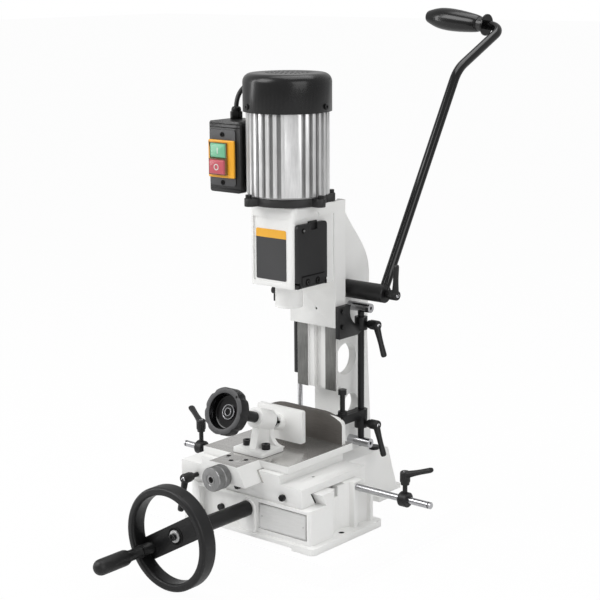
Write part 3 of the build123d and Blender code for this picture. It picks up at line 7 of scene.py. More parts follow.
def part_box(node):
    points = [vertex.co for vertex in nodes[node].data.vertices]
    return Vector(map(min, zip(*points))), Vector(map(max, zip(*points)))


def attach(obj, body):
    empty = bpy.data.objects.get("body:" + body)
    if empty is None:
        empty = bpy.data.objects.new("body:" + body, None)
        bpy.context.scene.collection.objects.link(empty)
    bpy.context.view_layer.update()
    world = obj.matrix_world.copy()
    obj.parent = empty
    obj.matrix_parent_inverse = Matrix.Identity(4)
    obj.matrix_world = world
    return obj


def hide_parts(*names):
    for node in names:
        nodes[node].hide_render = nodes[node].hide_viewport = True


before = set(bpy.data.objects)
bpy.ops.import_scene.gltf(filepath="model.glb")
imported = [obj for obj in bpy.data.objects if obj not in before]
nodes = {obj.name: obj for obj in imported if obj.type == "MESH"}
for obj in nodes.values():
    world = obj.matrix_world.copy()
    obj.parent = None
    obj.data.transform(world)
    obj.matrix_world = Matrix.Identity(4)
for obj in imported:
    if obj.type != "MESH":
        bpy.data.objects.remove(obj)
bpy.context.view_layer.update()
scene = bpy.context.scene
scene.view_settings.view_transform = "Standard"
print("stage 1: frame loaded,", len(nodes), "nodes")


# shader helpers

def srgb(red, green, blue):
    linear = [((c + 0.055) / 1.055) ** 2.4 if c > 0.04045 else c / 12.92 for c in (red, green, blue)]
    return tuple(linear) + (1.0,)


def newGroup(name, inputs, outputs):
    group = bpy.data.node_groups.new(name, "ShaderNodeTree")
    for label, kind, value in inputs:
        socket = group.interface.new_socket(label, in_out="INPUT", socket_type=kind)
        socket.default_value = value
    for label in outputs:
        group.interface.new_socket(label, in_out="OUTPUT", socket_type="NodeSocketFloat")
    return group, group.nodes.new("NodeGroupInput"), group.nodes.new("NodeGroupOutput")


def mathNode(tree, operation, first, second):
    node = tree.nodes.new("ShaderNodeMath")
    node.operation = operation
    for socket, value in zip(node.inputs, (first, second)):
        if isinstance(value, (int, float)):
            socket.default_value = value
        else:
            tree.links.new(value, socket)
    return node.outputs[0]


def noiseNode(tree, vector, size, detail, rough=0.5):
    node = tree.nodes.new("ShaderNodeTexNoise")
    tree.links.new(vector, node.inputs["Vector"])
    node.inputs["Detail"].default_value = detail
    node.inputs["Roughness"].default_value = rough
    if isinstance(size, (int, float)):
        node.inputs["Scale"].default_value = size
    else:
        tree.links.new(size, node.inputs["Scale"])
    return node.outputs[0]


# enamel and plastic skin: broad tone drift plus fine peel
skinGroup, skinIn, skinOut = newGroup(
    "enamelSkin", [("Peel", "NodeSocketFloat", 900.0), ("Drift", "NodeSocketFloat", 9.0)],
    ["Tone", "Height"])
place = skinGroup.nodes.new("ShaderNodeTexCoord").outputs["Object"]
drift = noiseNode(skinGroup, place, skinIn.outputs["Drift"], 3.0)
peel = noiseNode(skinGroup, place, skinIn.outputs["Peel"], 2.0)
skinGroup.links.new(mathNode(skinGroup, "ADD", mathNode(skinGroup, "MULTIPLY", drift, 0.7),
                             mathNode(skinGroup, "MULTIPLY", peel, 0.3)), skinOut.inputs["Tone"])
skinGroup.links.new(peel, skinOut.inputs["Height"])

# cutter and polishing marks, drawn out along one direction
markGroup, markIn, markOut = newGroup(
    "toolMarks", [("Stretch", "NodeSocketVector", (1.0, 1.0, 1.0)), ("Blotch", "NodeSocketFloat", 30.0)],
    ["Tone", "Height"])
place = markGroup.nodes.new("ShaderNodeTexCoord").outputs["Object"]
drawn = markGroup.nodes.new("ShaderNodeVectorMath")
drawn.operation = "MULTIPLY"
markGroup.links.new(place, drawn.inputs[0])
markGroup.links.new(markIn.outputs["Stretch"], drawn.inputs[1])
streak = noiseNode(markGroup, drawn.outputs[0], 1.0, 4.0, 0.65)
blotch = noiseNode(markGroup, place, markIn.outputs["Blotch"], 3.0)
markGroup.links.new(mathNode(markGroup, "ADD", mathNode(markGroup, "MULTIPLY", streak, 0.6),
                             mathNode(markGroup, "MULTIPLY", blotch, 0.4)), markOut.inputs["Tone"])
markGroup.links.new(streak, markOut.inputs["Height"])


toneSpread = (0.3, 0.7)
bumpReach = 0.0002


def toneRange(tree, tone, low=0.0, high=1.0):
    node = tree.nodes.new("ShaderNodeMapRange")
    for label, value in zip(("From Min", "From Max", "To Min", "To Max"), toneSpread + (low, high)):
        node.inputs[label].default_value = value
    tree.links.new(tone, node.inputs["Value"])
    return node.outputs[0]


def bumpNode(tree, shader, height, strength, reach=bumpReach):
    bump = tree.nodes.new("ShaderNodeBump")
    bump.inputs["Strength"].default_value = strength
    bump.inputs["Distance"].default_value = reach
    tree.links.new(height, bump.inputs["Height"])
    tree.links.new(bump.outputs[0], shader.inputs["Normal"])


def finishNodes(tree, spec):
    source = tree.nodes.new("ShaderNodeGroup")
    source.node_tree = markGroup if "stretch" in spec else skinGroup
    if "stretch" in spec:
        source.inputs["Stretch"].default_value = spec["stretch"]
        source.inputs["Blotch"].default_value = spec.get("blotch", 30.0)
    else:
        source.inputs["Peel"].default_value = spec.get("peel", 900.0)
        source.inputs["Drift"].default_value = spec.get("drift", 9.0)
    colour = tree.nodes.new("ShaderNodeMix")
    colour.data_type = "RGBA"
    colour.inputs["A"].default_value = srgb(*spec["dark"])
    colour.inputs["B"].default_value = srgb(*spec["light"])
    tone = source.outputs["Tone"]
    tree.links.new(toneRange(tree, tone), colour.inputs["Factor"])
    return colour.outputs["Result"], toneRange(tree, tone, *spec["rough"]), source.outputs["Height"]


def newMaterial(spec):
    material = bpy.data.materials.new(spec["name"])
    material.use_nodes = True
    tree = material.node_tree
    shader = tree.nodes["Principled BSDF"]
    colour, rough, height = finishNodes(tree, spec)
    tree.links.new(colour, shader.inputs["Base Color"])
    tree.links.new(rough, shader.inputs["Roughness"])
    shader.inputs["Metallic"].default_value = spec.get("metal", 0.0)
    shader.inputs["Coat Weight"].default_value = spec.get("coat", 0.0)
    shader.inputs["Coat Roughness"].default_value = spec.get("coatRough", 0.1)
    shader.inputs["Specular IOR Level"].default_value = spec.get("gloss", 0.5)
    bumpNode(tree, shader, height, spec.get("bump", 0.15), spec.get("bumpDepth", bumpReach))
    material.diffuse_color = srgb(*spec["light"])
    return material


def faceMask(tree, tests):
    # each test is (source, axis, side, value): place or normal on one side of a value, near or far from
    # one, or inside a circle
    coords = tree.nodes.new("ShaderNodeTexCoord")
    parts = {}
    for source in ("Object", "Normal"):
        split = tree.nodes.new("ShaderNodeSeparateXYZ")
        tree.links.new(coords.outputs[source], split.inputs[0])
        parts[source] = split
    mask = None
    for source, axis, side, value in tests:
        if side == "inside":
            across = mathNode(tree, "SUBTRACT", parts[source].outputs["X"], value[0])
            along = mathNode(tree, "SUBTRACT", parts[source].outputs["Y"], value[1])
            squares = mathNode(tree, "ADD", mathNode(tree, "MULTIPLY", across, across),
                               mathNode(tree, "MULTIPLY", along, along))
            test = mathNode(tree, "LESS_THAN", squares, value[2] ** 2)
        elif side in ("far", "near"):
            offset = mathNode(tree, "SUBTRACT", parts[source].outputs[axis], value[0])
            reach = mathNode(tree, "ABSOLUTE", offset, 0.0)
            test = mathNode(tree, "GREATER_THAN" if side == "far" else "LESS_THAN", reach, value[1])
        else:
            spot = parts[source].outputs[axis]
            test = mathNode(tree, "GREATER_THAN" if side == "above" else "LESS_THAN", spot, value)
        mask = test if mask is None else mathNode(tree, "MULTIPLY", mask, test)
    return mask


workedBump = 0.06


def twoFinishes(name, ground, worked, tests, groundMetal=0.0):
    # ground finish with worked faces picked out by place and direction
    material = bpy.data.materials.new(name)
    material.use_nodes = True
    tree = material.node_tree
    shader = tree.nodes["Principled BSDF"]
    mask = faceMask(tree, tests)
    blended = []
    pairs = zip(("RGBA", "FLOAT", "FLOAT"), finishNodes(tree, ground), finishNodes(tree, worked))
    for kind, first, second in pairs:
        blend = tree.nodes.new("ShaderNodeMix")
        blend.data_type = kind
        tree.links.new(mask, blend.inputs["Factor"])
        tree.links.new(first, blend.inputs["A"])
        tree.links.new(second, blend.inputs["B"])
        blended.append(blend.outputs["Result"])
    colour, rough, height = blended
    tree.links.new(colour, shader.inputs["Base Color"])
    tree.links.new(rough, shader.inputs["Roughness"])
    bumpNode(tree, shader, height, workedBump)
    step = worked.get("metal", 0.0) - groundMetal
    tree.links.new(mathNode(tree, "ADD", mathNode(tree, "MULTIPLY", mask, step), groundMetal),
                   shader.inputs["Metallic"])
    material.diffuse_color = srgb(*ground["light"])
    return material


# finishes
enamel = dict(name="whiteEnamel", dark=(0.905, 0.905, 0.897), light=(0.94, 0.94, 0.935), rough=(0.36, 0.46),
              peel=700.0, bump=0.12)
groundIron = dict(name="groundIron", dark=(0.72, 0.715, 0.705), light=(0.82, 0.815, 0.805),
                  rough=(0.17, 0.25), stretch=(14.0, 420.0, 420.0), blotch=12.0, metal=0.75)
milledIron = dict(name="milledIron", dark=(0.36, 0.36, 0.355), light=(0.56, 0.56, 0.55), rough=(0.32, 0.46),
                  stretch=(900.0, 900.0, 40.0), metal=0.7)
fenceFace = dict(name="fenceFace", dark=(0.29, 0.275, 0.26), light=(0.38, 0.365, 0.35), rough=(0.45, 0.6),
                 stretch=(50.0, 900.0, 900.0), metal=0.25)
satinBlack = dict(name="satinBlack", dark=(0.05, 0.05, 0.053), light=(0.08, 0.08, 0.084), rough=(0.34, 0.46),
                  peel=1400.0, bump=0.12, gloss=0.34)
armBlack = dict(name="armBlack", dark=(0.025, 0.025, 0.027), light=(0.045, 0.045, 0.047), rough=(0.12, 0.16),
                peel=600.0, bump=0.004, gloss=0.34, coat=0.1, coatRough=0.05)
coverBlack = dict(name="coverBlack", dark=(0.115, 0.115, 0.118), light=(0.145, 0.145, 0.148),
                  rough=(0.4, 0.5), peel=2000.0, bump=0.12, gloss=0.32)
# very dark finish: painted shade in holes, grooves, gaps and counterbores, and also the switch box screws
# and the dark centre of the knob rings
shadeAndBlack = dict(name="shadeAndBlack", dark=(0.02, 0.02, 0.02), light=(0.035, 0.035, 0.035), rough=(0.7, 0.8),
                  peel=900.0, bump=0.05, gloss=0.2)
gripBlack = dict(name="gripBlack", dark=(0.025, 0.025, 0.027), light=(0.04, 0.04, 0.042), rough=(0.18, 0.24),
                 peel=500.0, bump=0.004, gloss=0.36, coat=0.1, coatRough=0.08)
capBlack = dict(name="capBlack", dark=(0.045, 0.045, 0.047), light=(0.075, 0.075, 0.077), rough=(0.24, 0.34),
                peel=420.0, bump=0.04, gloss=0.3, coat=0.15, coatRough=0.12)
crackleBlack = dict(name="crackleBlack", dark=(0.035, 0.035, 0.036), light=(0.12, 0.12, 0.122),
                    rough=(0.4, 0.6), peel=1800.0, bump=0.6, bumpDepth=0.0004)
mouldedBlack = dict(name="mouldedBlack", dark=(0.03, 0.03, 0.032), light=(0.05, 0.05, 0.052),
                    rough=(0.3, 0.4), peel=2200.0, bump=0.12, gloss=0.24)
charcoal = dict(name="charcoalPlate", dark=(0.215, 0.215, 0.22), light=(0.28, 0.28, 0.285),
                rough=(0.45, 0.55), peel=2400.0, bump=0.25)
castSilver = dict(name="castSilver", dark=(0.80, 0.80, 0.80), light=(0.92, 0.92, 0.92), rough=(0.28, 0.4),
                  stretch=(500.0, 500.0, 40.0), metal=0.6)
# painted shade: darker colour for the motor core between the fins
finGrooveShade = dict(name="finGrooveShade", dark=(0.56, 0.56, 0.56), light=(0.68, 0.68, 0.68), rough=(0.4, 0.55),
                 stretch=(500.0, 500.0, 40.0), metal=0.45)
turnedSteel = dict(name="turnedSteel", dark=(0.55, 0.55, 0.55), light=(0.74, 0.74, 0.74), rough=(0.24, 0.36),
                   stretch=(1200.0, 120.0, 120.0), metal=0.95)
brightSteel = dict(name="brightSteel", dark=(0.74, 0.74, 0.75), light=(0.86, 0.86, 0.87), rough=(0.1, 0.18),
                   stretch=(80.0, 80.0, 900.0), metal=1.0, bump=0.03)
rodSteel = dict(name="rodSteel", dark=(0.64, 0.64, 0.65), light=(0.76, 0.76, 0.77), rough=(0.18, 0.25),
                stretch=(6.0, 300.0, 300.0), metal=1.0, bump=0.01)
knurlSteel = dict(name="knurlSteel", dark=(0.46, 0.46, 0.46), light=(0.64, 0.64, 0.64), rough=(0.26, 0.38),
                  stretch=(1200.0, 120.0, 120.0), metal=0.95)
ferruleSteel = dict(name="ferruleSteel", dark=(0.18, 0.18, 0.18), light=(0.3, 0.3, 0.3), rough=(0.24, 0.34),
                    stretch=(120.0, 900.0, 120.0), metal=0.95, bump=0.02)
plainBronze = dict(name="plainBronze", dark=(0.56, 0.43, 0.22), light=(0.70, 0.55, 0.30), rough=(0.35, 0.5),
                   stretch=(300.0, 900.0, 300.0), metal=0.9)
switchYellow = dict(name="switchYellow", dark=(0.90, 0.62, 0.12), light=(0.95, 0.69, 0.17),
                    rough=(0.32, 0.42), peel=1800.0, bump=0.1)
buttonGreen = dict(name="buttonGreen", dark=(0.40, 0.67, 0.52), light=(0.48, 0.74, 0.60), rough=(0.25, 0.35),
                   peel=1500.0, bump=0.05)
buttonRed = dict(name="buttonRed", dark=(0.70, 0.30, 0.34), light=(0.78, 0.38, 0.42), rough=(0.25, 0.35),
                 peel=1500.0, bump=0.05)
plateSilver = dict(name="plateSilver", dark=(0.78, 0.78, 0.775), light=(0.86, 0.86, 0.855), rough=(0.3, 0.4),
                   stretch=(60.0, 900.0, 900.0), metal=0.6)
leverBlack = dict(name="leverBlack", dark=(0.05, 0.05, 0.052), light=(0.085, 0.085, 0.088),
                  rough=(0.4, 0.52), peel=1900.0, bump=0.25, gloss=0.38)
panelDark = dict(name="panelDark", dark=(0.17, 0.17, 0.175), light=(0.215, 0.215, 0.22), rough=(0.36, 0.46),
                 peel=1200.0, bump=0.06)
panelYellow = dict(name="panelYellow", dark=(0.89, 0.64, 0.14), light=(0.94, 0.70, 0.19), rough=(0.36, 0.46),
                   peel=1200.0, bump=0.06)
markWhite = dict(name="markWhite", dark=(0.78, 0.81, 0.78), light=(0.86, 0.88, 0.86), rough=(0.35, 0.45),
                 peel=1200.0, bump=0.06)
plateGround = dict(name="plateGround", dark=(0.84, 0.84, 0.835), light=(0.89, 0.89, 0.885),
                   rough=(0.34, 0.44), stretch=(60.0, 900.0, 900.0), metal=0.2)
bootFrame = dict(name="bootFrame", dark=(0.42, 0.33, 0.22), light=(0.56, 0.44, 0.29), rough=(0.2, 0.3),
                 peel=1200.0, bump=0.05)
leadBlack = dict(name="leadBlack", dark=(0.06, 0.06, 0.06), light=(0.09, 0.09, 0.09), rough=(0.45, 0.55),
                 peel=1600.0, bump=0.1)

finishes = {}
for spec in (enamel, groundIron, milledIron, fenceFace, satinBlack, gripBlack, capBlack, crackleBlack,
             mouldedBlack, charcoal, castSilver, turnedSteel, brightSteel, plainBronze, switchYellow,
             buttonGreen, buttonRed, plateSilver, leadBlack, leverBlack, panelDark, panelYellow, markWhite,
             plateGround, armBlack, coverBlack, shadeAndBlack, rodSteel, knurlSteel, ferruleSteel, bootFrame):
    finishes[spec["name"]] = newMaterial(spec)

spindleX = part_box("chisel_bush")[0].x / 2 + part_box("chisel_bush")[1].x / 2
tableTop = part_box("table")[1].z
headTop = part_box("head_casting")[1].z
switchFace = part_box("switch_box")[0].y
wayHalf, wayBehind, wayLow = 0.017, 0.105, 0.18
facing, skin = 0.7, 0.0003
finishes["tableFinish"] = twoFinishes("tableFinish", enamel, groundIron, [
    ("Normal", "Z", "above", facing), ("Object", "Z", "above", tableTop - skin)])
finishes["columnFinish"] = twoFinishes("columnFinish", enamel, milledIron, [
    ("Normal", "Y", "below", -facing), ("Object", "X", "far", (spindleX, wayHalf)),
    ("Object", "Z", "above", wayLow), ("Object", "Y", "below", wayBehind)])
finishes["headFinish"] = twoFinishes("headFinish", enamel, groundIron, [
    ("Normal", "Z", "above", facing), ("Object", "Z", "above", headTop - skin)])
finishes["switchFinish"] = twoFinishes("switchFinish", mouldedBlack, charcoal, [
    ("Normal", "Y", "below", -facing), ("Object", "Y", "below", switchFace + skin)])
motorMiddle = (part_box("motor_body")[0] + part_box("motor_body")[1]) / 2
# fins in cast silver, with painted shade on the core between them, inside the groove reach
grooveShadeReach = 0.0575
finishes["finsAndGrooveShade"] = twoFinishes("finsAndGrooveShade", castSilver, finGrooveShade, [
    ("Object", "reach", "inside", (motorMiddle.x, motorMiddle.y, grooveShadeReach))], castSilver["metal"])
finishes["fenceFinish"] = twoFinishes("fenceFinish", enamel, fenceFace, [
    ("Normal", "Y", "below", facing), ("Normal", "X", "near", (0.0, 0.3))])

nodeFinish = {
    "whiteEnamel": ["base_casting", "saddle", "clamp_bracket", "clamp_pad", "chisel_bush"],
    "tableFinish": ["table"],
    "columnFinish": ["column_casting"],
    "headFinish": ["head_casting"],
    "fenceFinish": ["fence"],
    "armBlack": ["feed_arm", "feed_hub"],
    "coverBlack": ["side_cover"],
    "satinBlack": ["handwheel", "stop_bracket", "stop_block", "left_travel_collar", "right_travel_collar",
                   "bracket_lever", "stop_lever", "hub_lever", "saddle_lever", "left_travel_lever",
                   "right_travel_lever", "gas_spring_cylinder", "stop_bolt", "base_screws", "saddle_screws",
                   "table_screws", "head_fasteners", "shaft_sleeve", "depth_rod", "clamp_screw"],
    "gripBlack": ["wheel_grip", "feed_handle", "clamp_knob"],
    "capBlack": ["fan_cover"],
    "crackleBlack": ["motor_flange"],
    "mouldedBlack": ["lead_gland", "cooling_fan"],
    "switchFinish": ["switch_box"],
    "finsAndGrooveShade": ["motor_body"],
    "groundIron": ["gib_strips", "stator"],
    "turnedSteel": ["pinion_shaft", "feed_pinion", "head_rack", "cross_rack", "spindle", "feed_screw",
                    "feed_dial", "wheel_bolts"],
    "brightSteel": ["gas_spring_rod"],
    "rodSteel": ["rod_standoffs", "travel_stop_rod"],
    "plainBronze": ["feed_nut"],
    "switchYellow": ["switch_panel"],
    "buttonGreen": ["start_button"],
    "buttonRed": ["stop_button"],
    "plateSilver": ["name_plate"],
    "leadBlack": ["motor_lead"],
}
for finish, members in nodeFinish.items():
    for name in members:
        mesh = nodes[name].data
        mesh.materials.clear()
        mesh.materials.append(finishes[finish])
unpainted = sorted(set(nodes) - {name for members in nodeFinish.values() for name in members})
print("stage 2: finishes on every node, left over:", unpainted)

# rounded casting edges, as modifiers on the CAD nodes
edgeRadius = {
    "base_casting": 0.0022, "column_casting": 0.002, "head_casting": 0.0007, "saddle": 0.0014,
    "table": 0.001, "clamp_bracket": 0.0018, "clamp_pad": 0.0014, "fence": 0.0009, "handwheel": 0.001,
    "side_cover": 0.0009, "switch_box": 0.0016, "switch_panel": 0.001, "motor_flange": 0.0008,
    "stop_bracket": 0.001, "stop_block": 0.001, "start_button": 0.0012, "stop_button": 0.0012,
    "name_plate": 0.0005, "feed_hub": 0.0006, "fan_cover": 0.0006, "motor_body": 0.0003,
}
edgeShape = dict(weld=0.00001, flat=radians(0.6), sharp=radians(32), segments=2)
for name, node in nodes.items():
    for polygon in node.data.polygons:
        polygon.use_smooth = True
    weld = node.modifiers.new("weld", "WELD")
    weld.merge_threshold = edgeShape["weld"]
    if name in edgeRadius:
        merge = node.modifiers.new("merge", "DECIMATE")
        merge.decimate_type = "DISSOLVE"
        merge.angle_limit = edgeShape["flat"]
        bevel = node.modifiers.new("bevel", "BEVEL")
        bevel.width = edgeRadius[name]
        bevel.segments = edgeShape["segments"]
        bevel.limit_method = "ANGLE"
        bevel.angle_limit = edgeShape["sharp"]
        bevel.harden_normals = True
    else:
        split = node.modifiers.new("split", "EDGE_SPLIT")
        split.split_angle = edgeShape["sharp"]
print("stage 3: edges rounded")


# piece helpers: shapes are drawn in millimetres, in the CAD frame

def turned(profile, steps=48, ridge=None, loop=False):
    work = bmesh.new()
    points = [work.verts.new((reach, 0.0, rise)) for reach, rise in profile]
    lines = [work.edges.new(pair) for pair in zip(points, points[1:])]
    if loop:
        lines.append(work.edges.new((points[-1], points[0])))
    bmesh.ops.spin(work, geom=points + lines, axis=(0, 0, 1), cent=(0, 0, 0), angle=2 * pi, steps=steps,
                   use_merge=True)
    bmesh.ops.remove_doubles(work, verts=work.verts, dist=0.0005)
    if ridge:
        for point in work.verts:
            reach = hypot(point.co.x, point.co.y)
            number = round(atan2(point.co.y, point.co.x) / (2 * pi / steps))
            if reach > ridge["beyond"] and number % 2:
                point.co.xy = point.co.xy * ((reach - ridge["depth"]) / reach)
    return work


def disc(radius, low, high, steps):
    return turned([(0, low), (radius, low), (radius, high), (0, high)], steps=steps)


def flatRing(inner, outer, low, high, steps):
    return turned([(inner, low), (outer, low), (outer, high), (inner, high)], steps=steps, loop=True)


def raised(profile, rise):
    return [(reach, height + rise) for reach, height in profile]


def rounded(work, edges, offset, segments=2):
    bmesh.ops.bevel(work, geom=edges, offset=offset, affect="EDGES", segments=segments, profile=0.5,
                    material=-1)


def roundCorners(work, axis, offset):
    edges = [edge for edge in work.edges if abs(edge.verts[0].co[axis] - edge.verts[1].co[axis]) > 0.1]
    rounded(work, edges, offset, segments=5)


def slab(low, high, edge=0.0):
    work = bmesh.new()
    bmesh.ops.create_cube(work, size=1.0)
    size = [b - a for a, b in zip(low, high)]
    bmesh.ops.scale(work, vec=size, verts=work.verts)
    bmesh.ops.translate(work, vec=[(a + b) / 2 for a, b in zip(low, high)], verts=work.verts)
    if edge:
        rounded(work, work.edges[:], edge)
    return work


def standing(place, upAxis=(0, 0, 1), sideAxis=(1, 0, 0)):
    up = Vector(upAxis).normalized()
    side = (Vector(sideAxis) - up * Vector(sideAxis).dot(up)).normalized()
    turn = Matrix((side, up.cross(side), up)).transposed()
    return Matrix.Translation(place) @ turn.to_4x4()


def forward(place):
    return standing(place, (0, -1, 0))


def sideways(place):
    return standing(place, (1, 0, 0), (0, 1, 0))


def addPart(work, part, place=None, colour=0):
    bmesh.ops.recalc_face_normals(part, faces=part.faces)
    for face in part.faces:
        face.material_index = colour
    if place is not None:
        part.transform(place)
    copy = bpy.data.meshes.new("copy")
    part.to_mesh(copy)
    part.free()
    work.from_mesh(copy)
    bpy.data.meshes.remove(copy)


def seated(part, place):
    bmesh.ops.recalc_face_normals(part, faces=part.faces)
    part.transform(place)
    return part


def newPiece(name, work, colours, body, replaced=(), crease=34):
    bmesh.ops.scale(work, vec=(0.001, 0.001, 0.001), verts=work.verts)
    mesh = bpy.data.meshes.new(name)
    work.to_mesh(mesh)
    work.free()
    for colour in colours:
        mesh.materials.append(finishes[colour])
    for polygon in mesh.polygons:
        polygon.use_smooth = True
    mesh.set_sharp_from_angle(angle=radians(crease))
    piece = bpy.data.objects.new(name, mesh)
    scene.collection.objects.link(piece)
    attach(piece, body)
    if replaced:
        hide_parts(*replaced)


def screwHead(radius, height, socket):
    deep = height * 0.35
    return turned([(0, 0), (radius * 0.96, 0), (radius, height * 0.1), (radius, height * 0.8),
                   (radius * 0.88, height), (socket, height), (socket * 0.96, deep), (0, deep)], steps=32)


# clamping levers: hub with a dished top and screw, arm that flattens towards its tip
leverShape = dict(stud=3.5, overlap=1, hubLength=20.0, armLength=50.0, armUp=14.4, flat=0.32,
                  hubFoot=((0, 0), (6.0, 0), (6.3, 0.8), (6.3, 3), (7.5, 5)),
                  hubTop=((7.5, -2.6), (6.9, -1), (5.6, 0), (4.4, 0), (4.1, -0.6), (4.1, -2.4), (0, -2.4)),
                  screw=((0, -2.5), (3.4, -2.5), (3.4, -0.7), (3.0, -0.3), (1.7, -0.3), (1.6, -1.8),
                         (0, -1.8)),
                  arm=((0, 0), (5.4, 0), (5.2, 9), (4.7, 20), (4.7, 30), (5.3, 42), (5.5, 46), (4.9, 48.6),
                       (3.0, 49.8), (0, 50)))
levers = [
    dict(name="leftTravelGrip", node="left_travel_lever", body="left_lock", place=(-196, 33, 82.5),
         stud=(0, 0, 1), arm=(-0.89, 0.46, 0), inside=5.4, neck=15, rise=16),
    dict(name="rightTravelGrip", node="right_travel_lever", body="right_lock", place=(204, 33, 82.5),
         stud=(0, 0, 1), arm=(1, 0, 0), inside=5.4, neck=11, rise=20),
    dict(name="bracketGrip", node="bracket_lever", body="bracket_lock", place=(44, 150, 286), stud=(1, 0, 0),
         arm=(0, 0, -1), inside=4.4, neck=5, rise=18),
    dict(name="stopGrip", node="stop_lever", body="stop_lock", place=(44, 150, 129), stud=(1, 0, 0),
         arm=(0, 0, -1), inside=4.4, neck=5, rise=18),
    dict(name="saddleGrip", node="saddle_lever", body="saddle_lock", place=(-104, -73.4, 73),
         stud=(0, -1, 0), arm=(0, 0, -1), inside=12, neck=12, rise=14),
    dict(name="hubGrip", node="hub_lever", body="hub_lock", place=(91, 138, 340), stud=(1, 0, 0),
         arm=(0, -0.2, 0.98), inside=11.5, neck=2, rise=10),
]
for lever in levers:
    low, top = lever["neck"], lever["neck"] + leverShape["hubLength"]
    seat = standing(lever["place"], lever["stud"], lever["arm"])
    work = bmesh.new()
    addPart(work, disc(leverShape["stud"], -lever["inside"], low + leverShape["overlap"], 24), seat)
    hub = raised(leverShape["hubFoot"], low) + raised(leverShape["hubTop"], top)
    addPart(work, turned(hub, steps=40), seat)
    addPart(work, turned(raised(leverShape["screw"], top), steps=24), seat, 1)
    arm = turned(leverShape["arm"], steps=28)
    for point in arm.verts:
        point.co.x *= 1 - leverShape["flat"] * point.co.z / leverShape["armLength"]
    tilt = Matrix.Rotation(radians(90 - lever["rise"]), 4, "Y")
    addPart(work, arm, seat @ Matrix.Translation((0, 0, low + leverShape["armUp"])) @ tilt)
    newPiece(lever["name"], work, ["leverBlack", "brightSteel"], lever["body"],
             [lever["node"]])
print("stage 4: clamping levers")

# feed dial: two knurled bands round a plain groove
dialShape = dict(place=(-18, -109.7, 98), notches=120, ridge=dict(beyond=17.4, depth=0.75), crease=24,
                 profile=((6.05, 0), (16.6, 0), (17.0, 0.6), (17.0, 2.4), (18, 3.2), (18, 11.4),
                          (17.0, 12.2), (17.0, 13.8), (18, 14.6), (18, 24.4), (17.0, 25.8), (9.2, 25.8),
                          (8.6, 25.2), (6.05, 25.2)))
work = bmesh.new()
dial = turned(dialShape["profile"], steps=dialShape["notches"], ridge=dialShape["ridge"], loop=True)
addPart(work, dial, forward(dialShape["place"]))
newPiece("knurledDial", work, ["knurlSteel"], "cross_feed", ["feed_dial"], dialShape["crease"])

# steel rings in the middle of the clamp knob
knobShape = dict(place=(-18, -23, 164), tilt=radians(20.0), boss=77.0, bottom=(4.7, 0.9, 1.3),
                 outerRing=((9.6, -0.2), (11.4, -0.2), (11.4, 1.2), (11.0, 1.6), (10.0, 1.6), (9.6, 1.2)),
                 innerRing=((4.6, 0.8), (6.4, 0.8), (6.4, 2.2), (6.0, 2.6), (5.0, 2.6), (4.6, 2.2)))
knobUp = (0, -cos(knobShape["tilt"]), sin(knobShape["tilt"]))
knobSeat = standing(knobShape["place"], knobUp)
boss = knobShape["boss"]
radius, low, high = knobShape["bottom"]
work = bmesh.new()
addPart(work, turned(raised(knobShape["outerRing"], boss), steps=48, loop=True), knobSeat)
addPart(work, turned(raised(knobShape["innerRing"], boss), steps=40, loop=True), knobSeat)
addPart(work, disc(radius, boss + low, boss + high, 32), knobSeat, 1)
newPiece("knobRings", work, ["rodSteel", "shadeAndBlack"], "clamp_turn")

# wheel hub: counterbore floor painted dark as shade, bright washer and a dark socket bolt
wheelHub = dict(place=(0, -229.0, 44.0),
                floor=((9.1, -0.1), (12.6, -0.1), (12.6, 0.15), (9.1, 0.15)),
                washer=((5.2, 0.1), (9.1, 0.1), (9.1, 1.55), (8.6, 2.2), (5.2, 2.2)),
                bolt=((0, 4.1), (2.4, 4.1), (2.5, 7.2), (4.6, 7.2), (5.2, 6.5), (5.2, 2.05)))
work = bmesh.new()
addPart(work, turned(wheelHub["floor"], steps=48, loop=True), forward(wheelHub["place"]))
addPart(work, turned(wheelHub["washer"], steps=48, loop=True), forward(wheelHub["place"]), 1)
addPart(work, turned(wheelHub["bolt"], steps=36), forward(wheelHub["place"]), 2)
newPiece("wheelHubTrim", work, ["shadeAndBlack", "castSilver", "satinBlack"], "wheel")

# clamp knob: shallow lobed cup with a flat front and a small hole in its rim; the cup is a glossier black
# whose darkness is painted shade, the flat front a lighter grey that is a painted sheen
lobedKnob = dict(lobes=8, notch=9.5, depth=1.7, beyond=31.0, cup=26.4, rim=89.5,
                 hole=dict(reach=30.6, swing=radians(50.0), rise=90.02, radius=1.8, deep=0.2),
                 profile=((8.06, 72.0), (33.4, 72.0), (34.6, 72.5), (35.0, 73.8), (35.0, 88.2), (34.6, 89.4),
                          (33.6, 90.0), (27.2, 90.0), (26.4, 89.6), (26.0, 88.8), (25.2, 78.4), (24.2, 76.6),
                          (22.2, 76.0), (12.0, 76.0), (12.0, 77.0), (8.06, 77.0)))
lobeStep = 360.0 / lobedKnob["lobes"]
work = turned(lobedKnob["profile"], steps=192, loop=True)
for point in work.verts:
    reach = hypot(point.co.x, point.co.y)
    swing = (atan2(point.co.y, point.co.x) * 180 / pi + lobeStep / 2) % lobeStep - lobeStep / 2
    if reach > lobedKnob["beyond"] and abs(swing) < lobedKnob["notch"]:
        cut = lobedKnob["depth"] * (1 + cos(pi * swing / lobedKnob["notch"])) / 2
        point.co.xy = point.co.xy * ((reach - cut) / reach)
knob = bmesh.new()
addPart(knob, work, knobSeat)
# painted shade and sheen: the cup takes a glossier, darker black and the flat front a lighter grey
for face in knob.faces:
    spot = knobSeat.inverted() @ face.calc_center_median()
    if hypot(spot.x, spot.y) < lobedKnob["cup"]:
        face.material_index = 2
    elif spot.z > lobedKnob["rim"]:
        face.material_index = 3
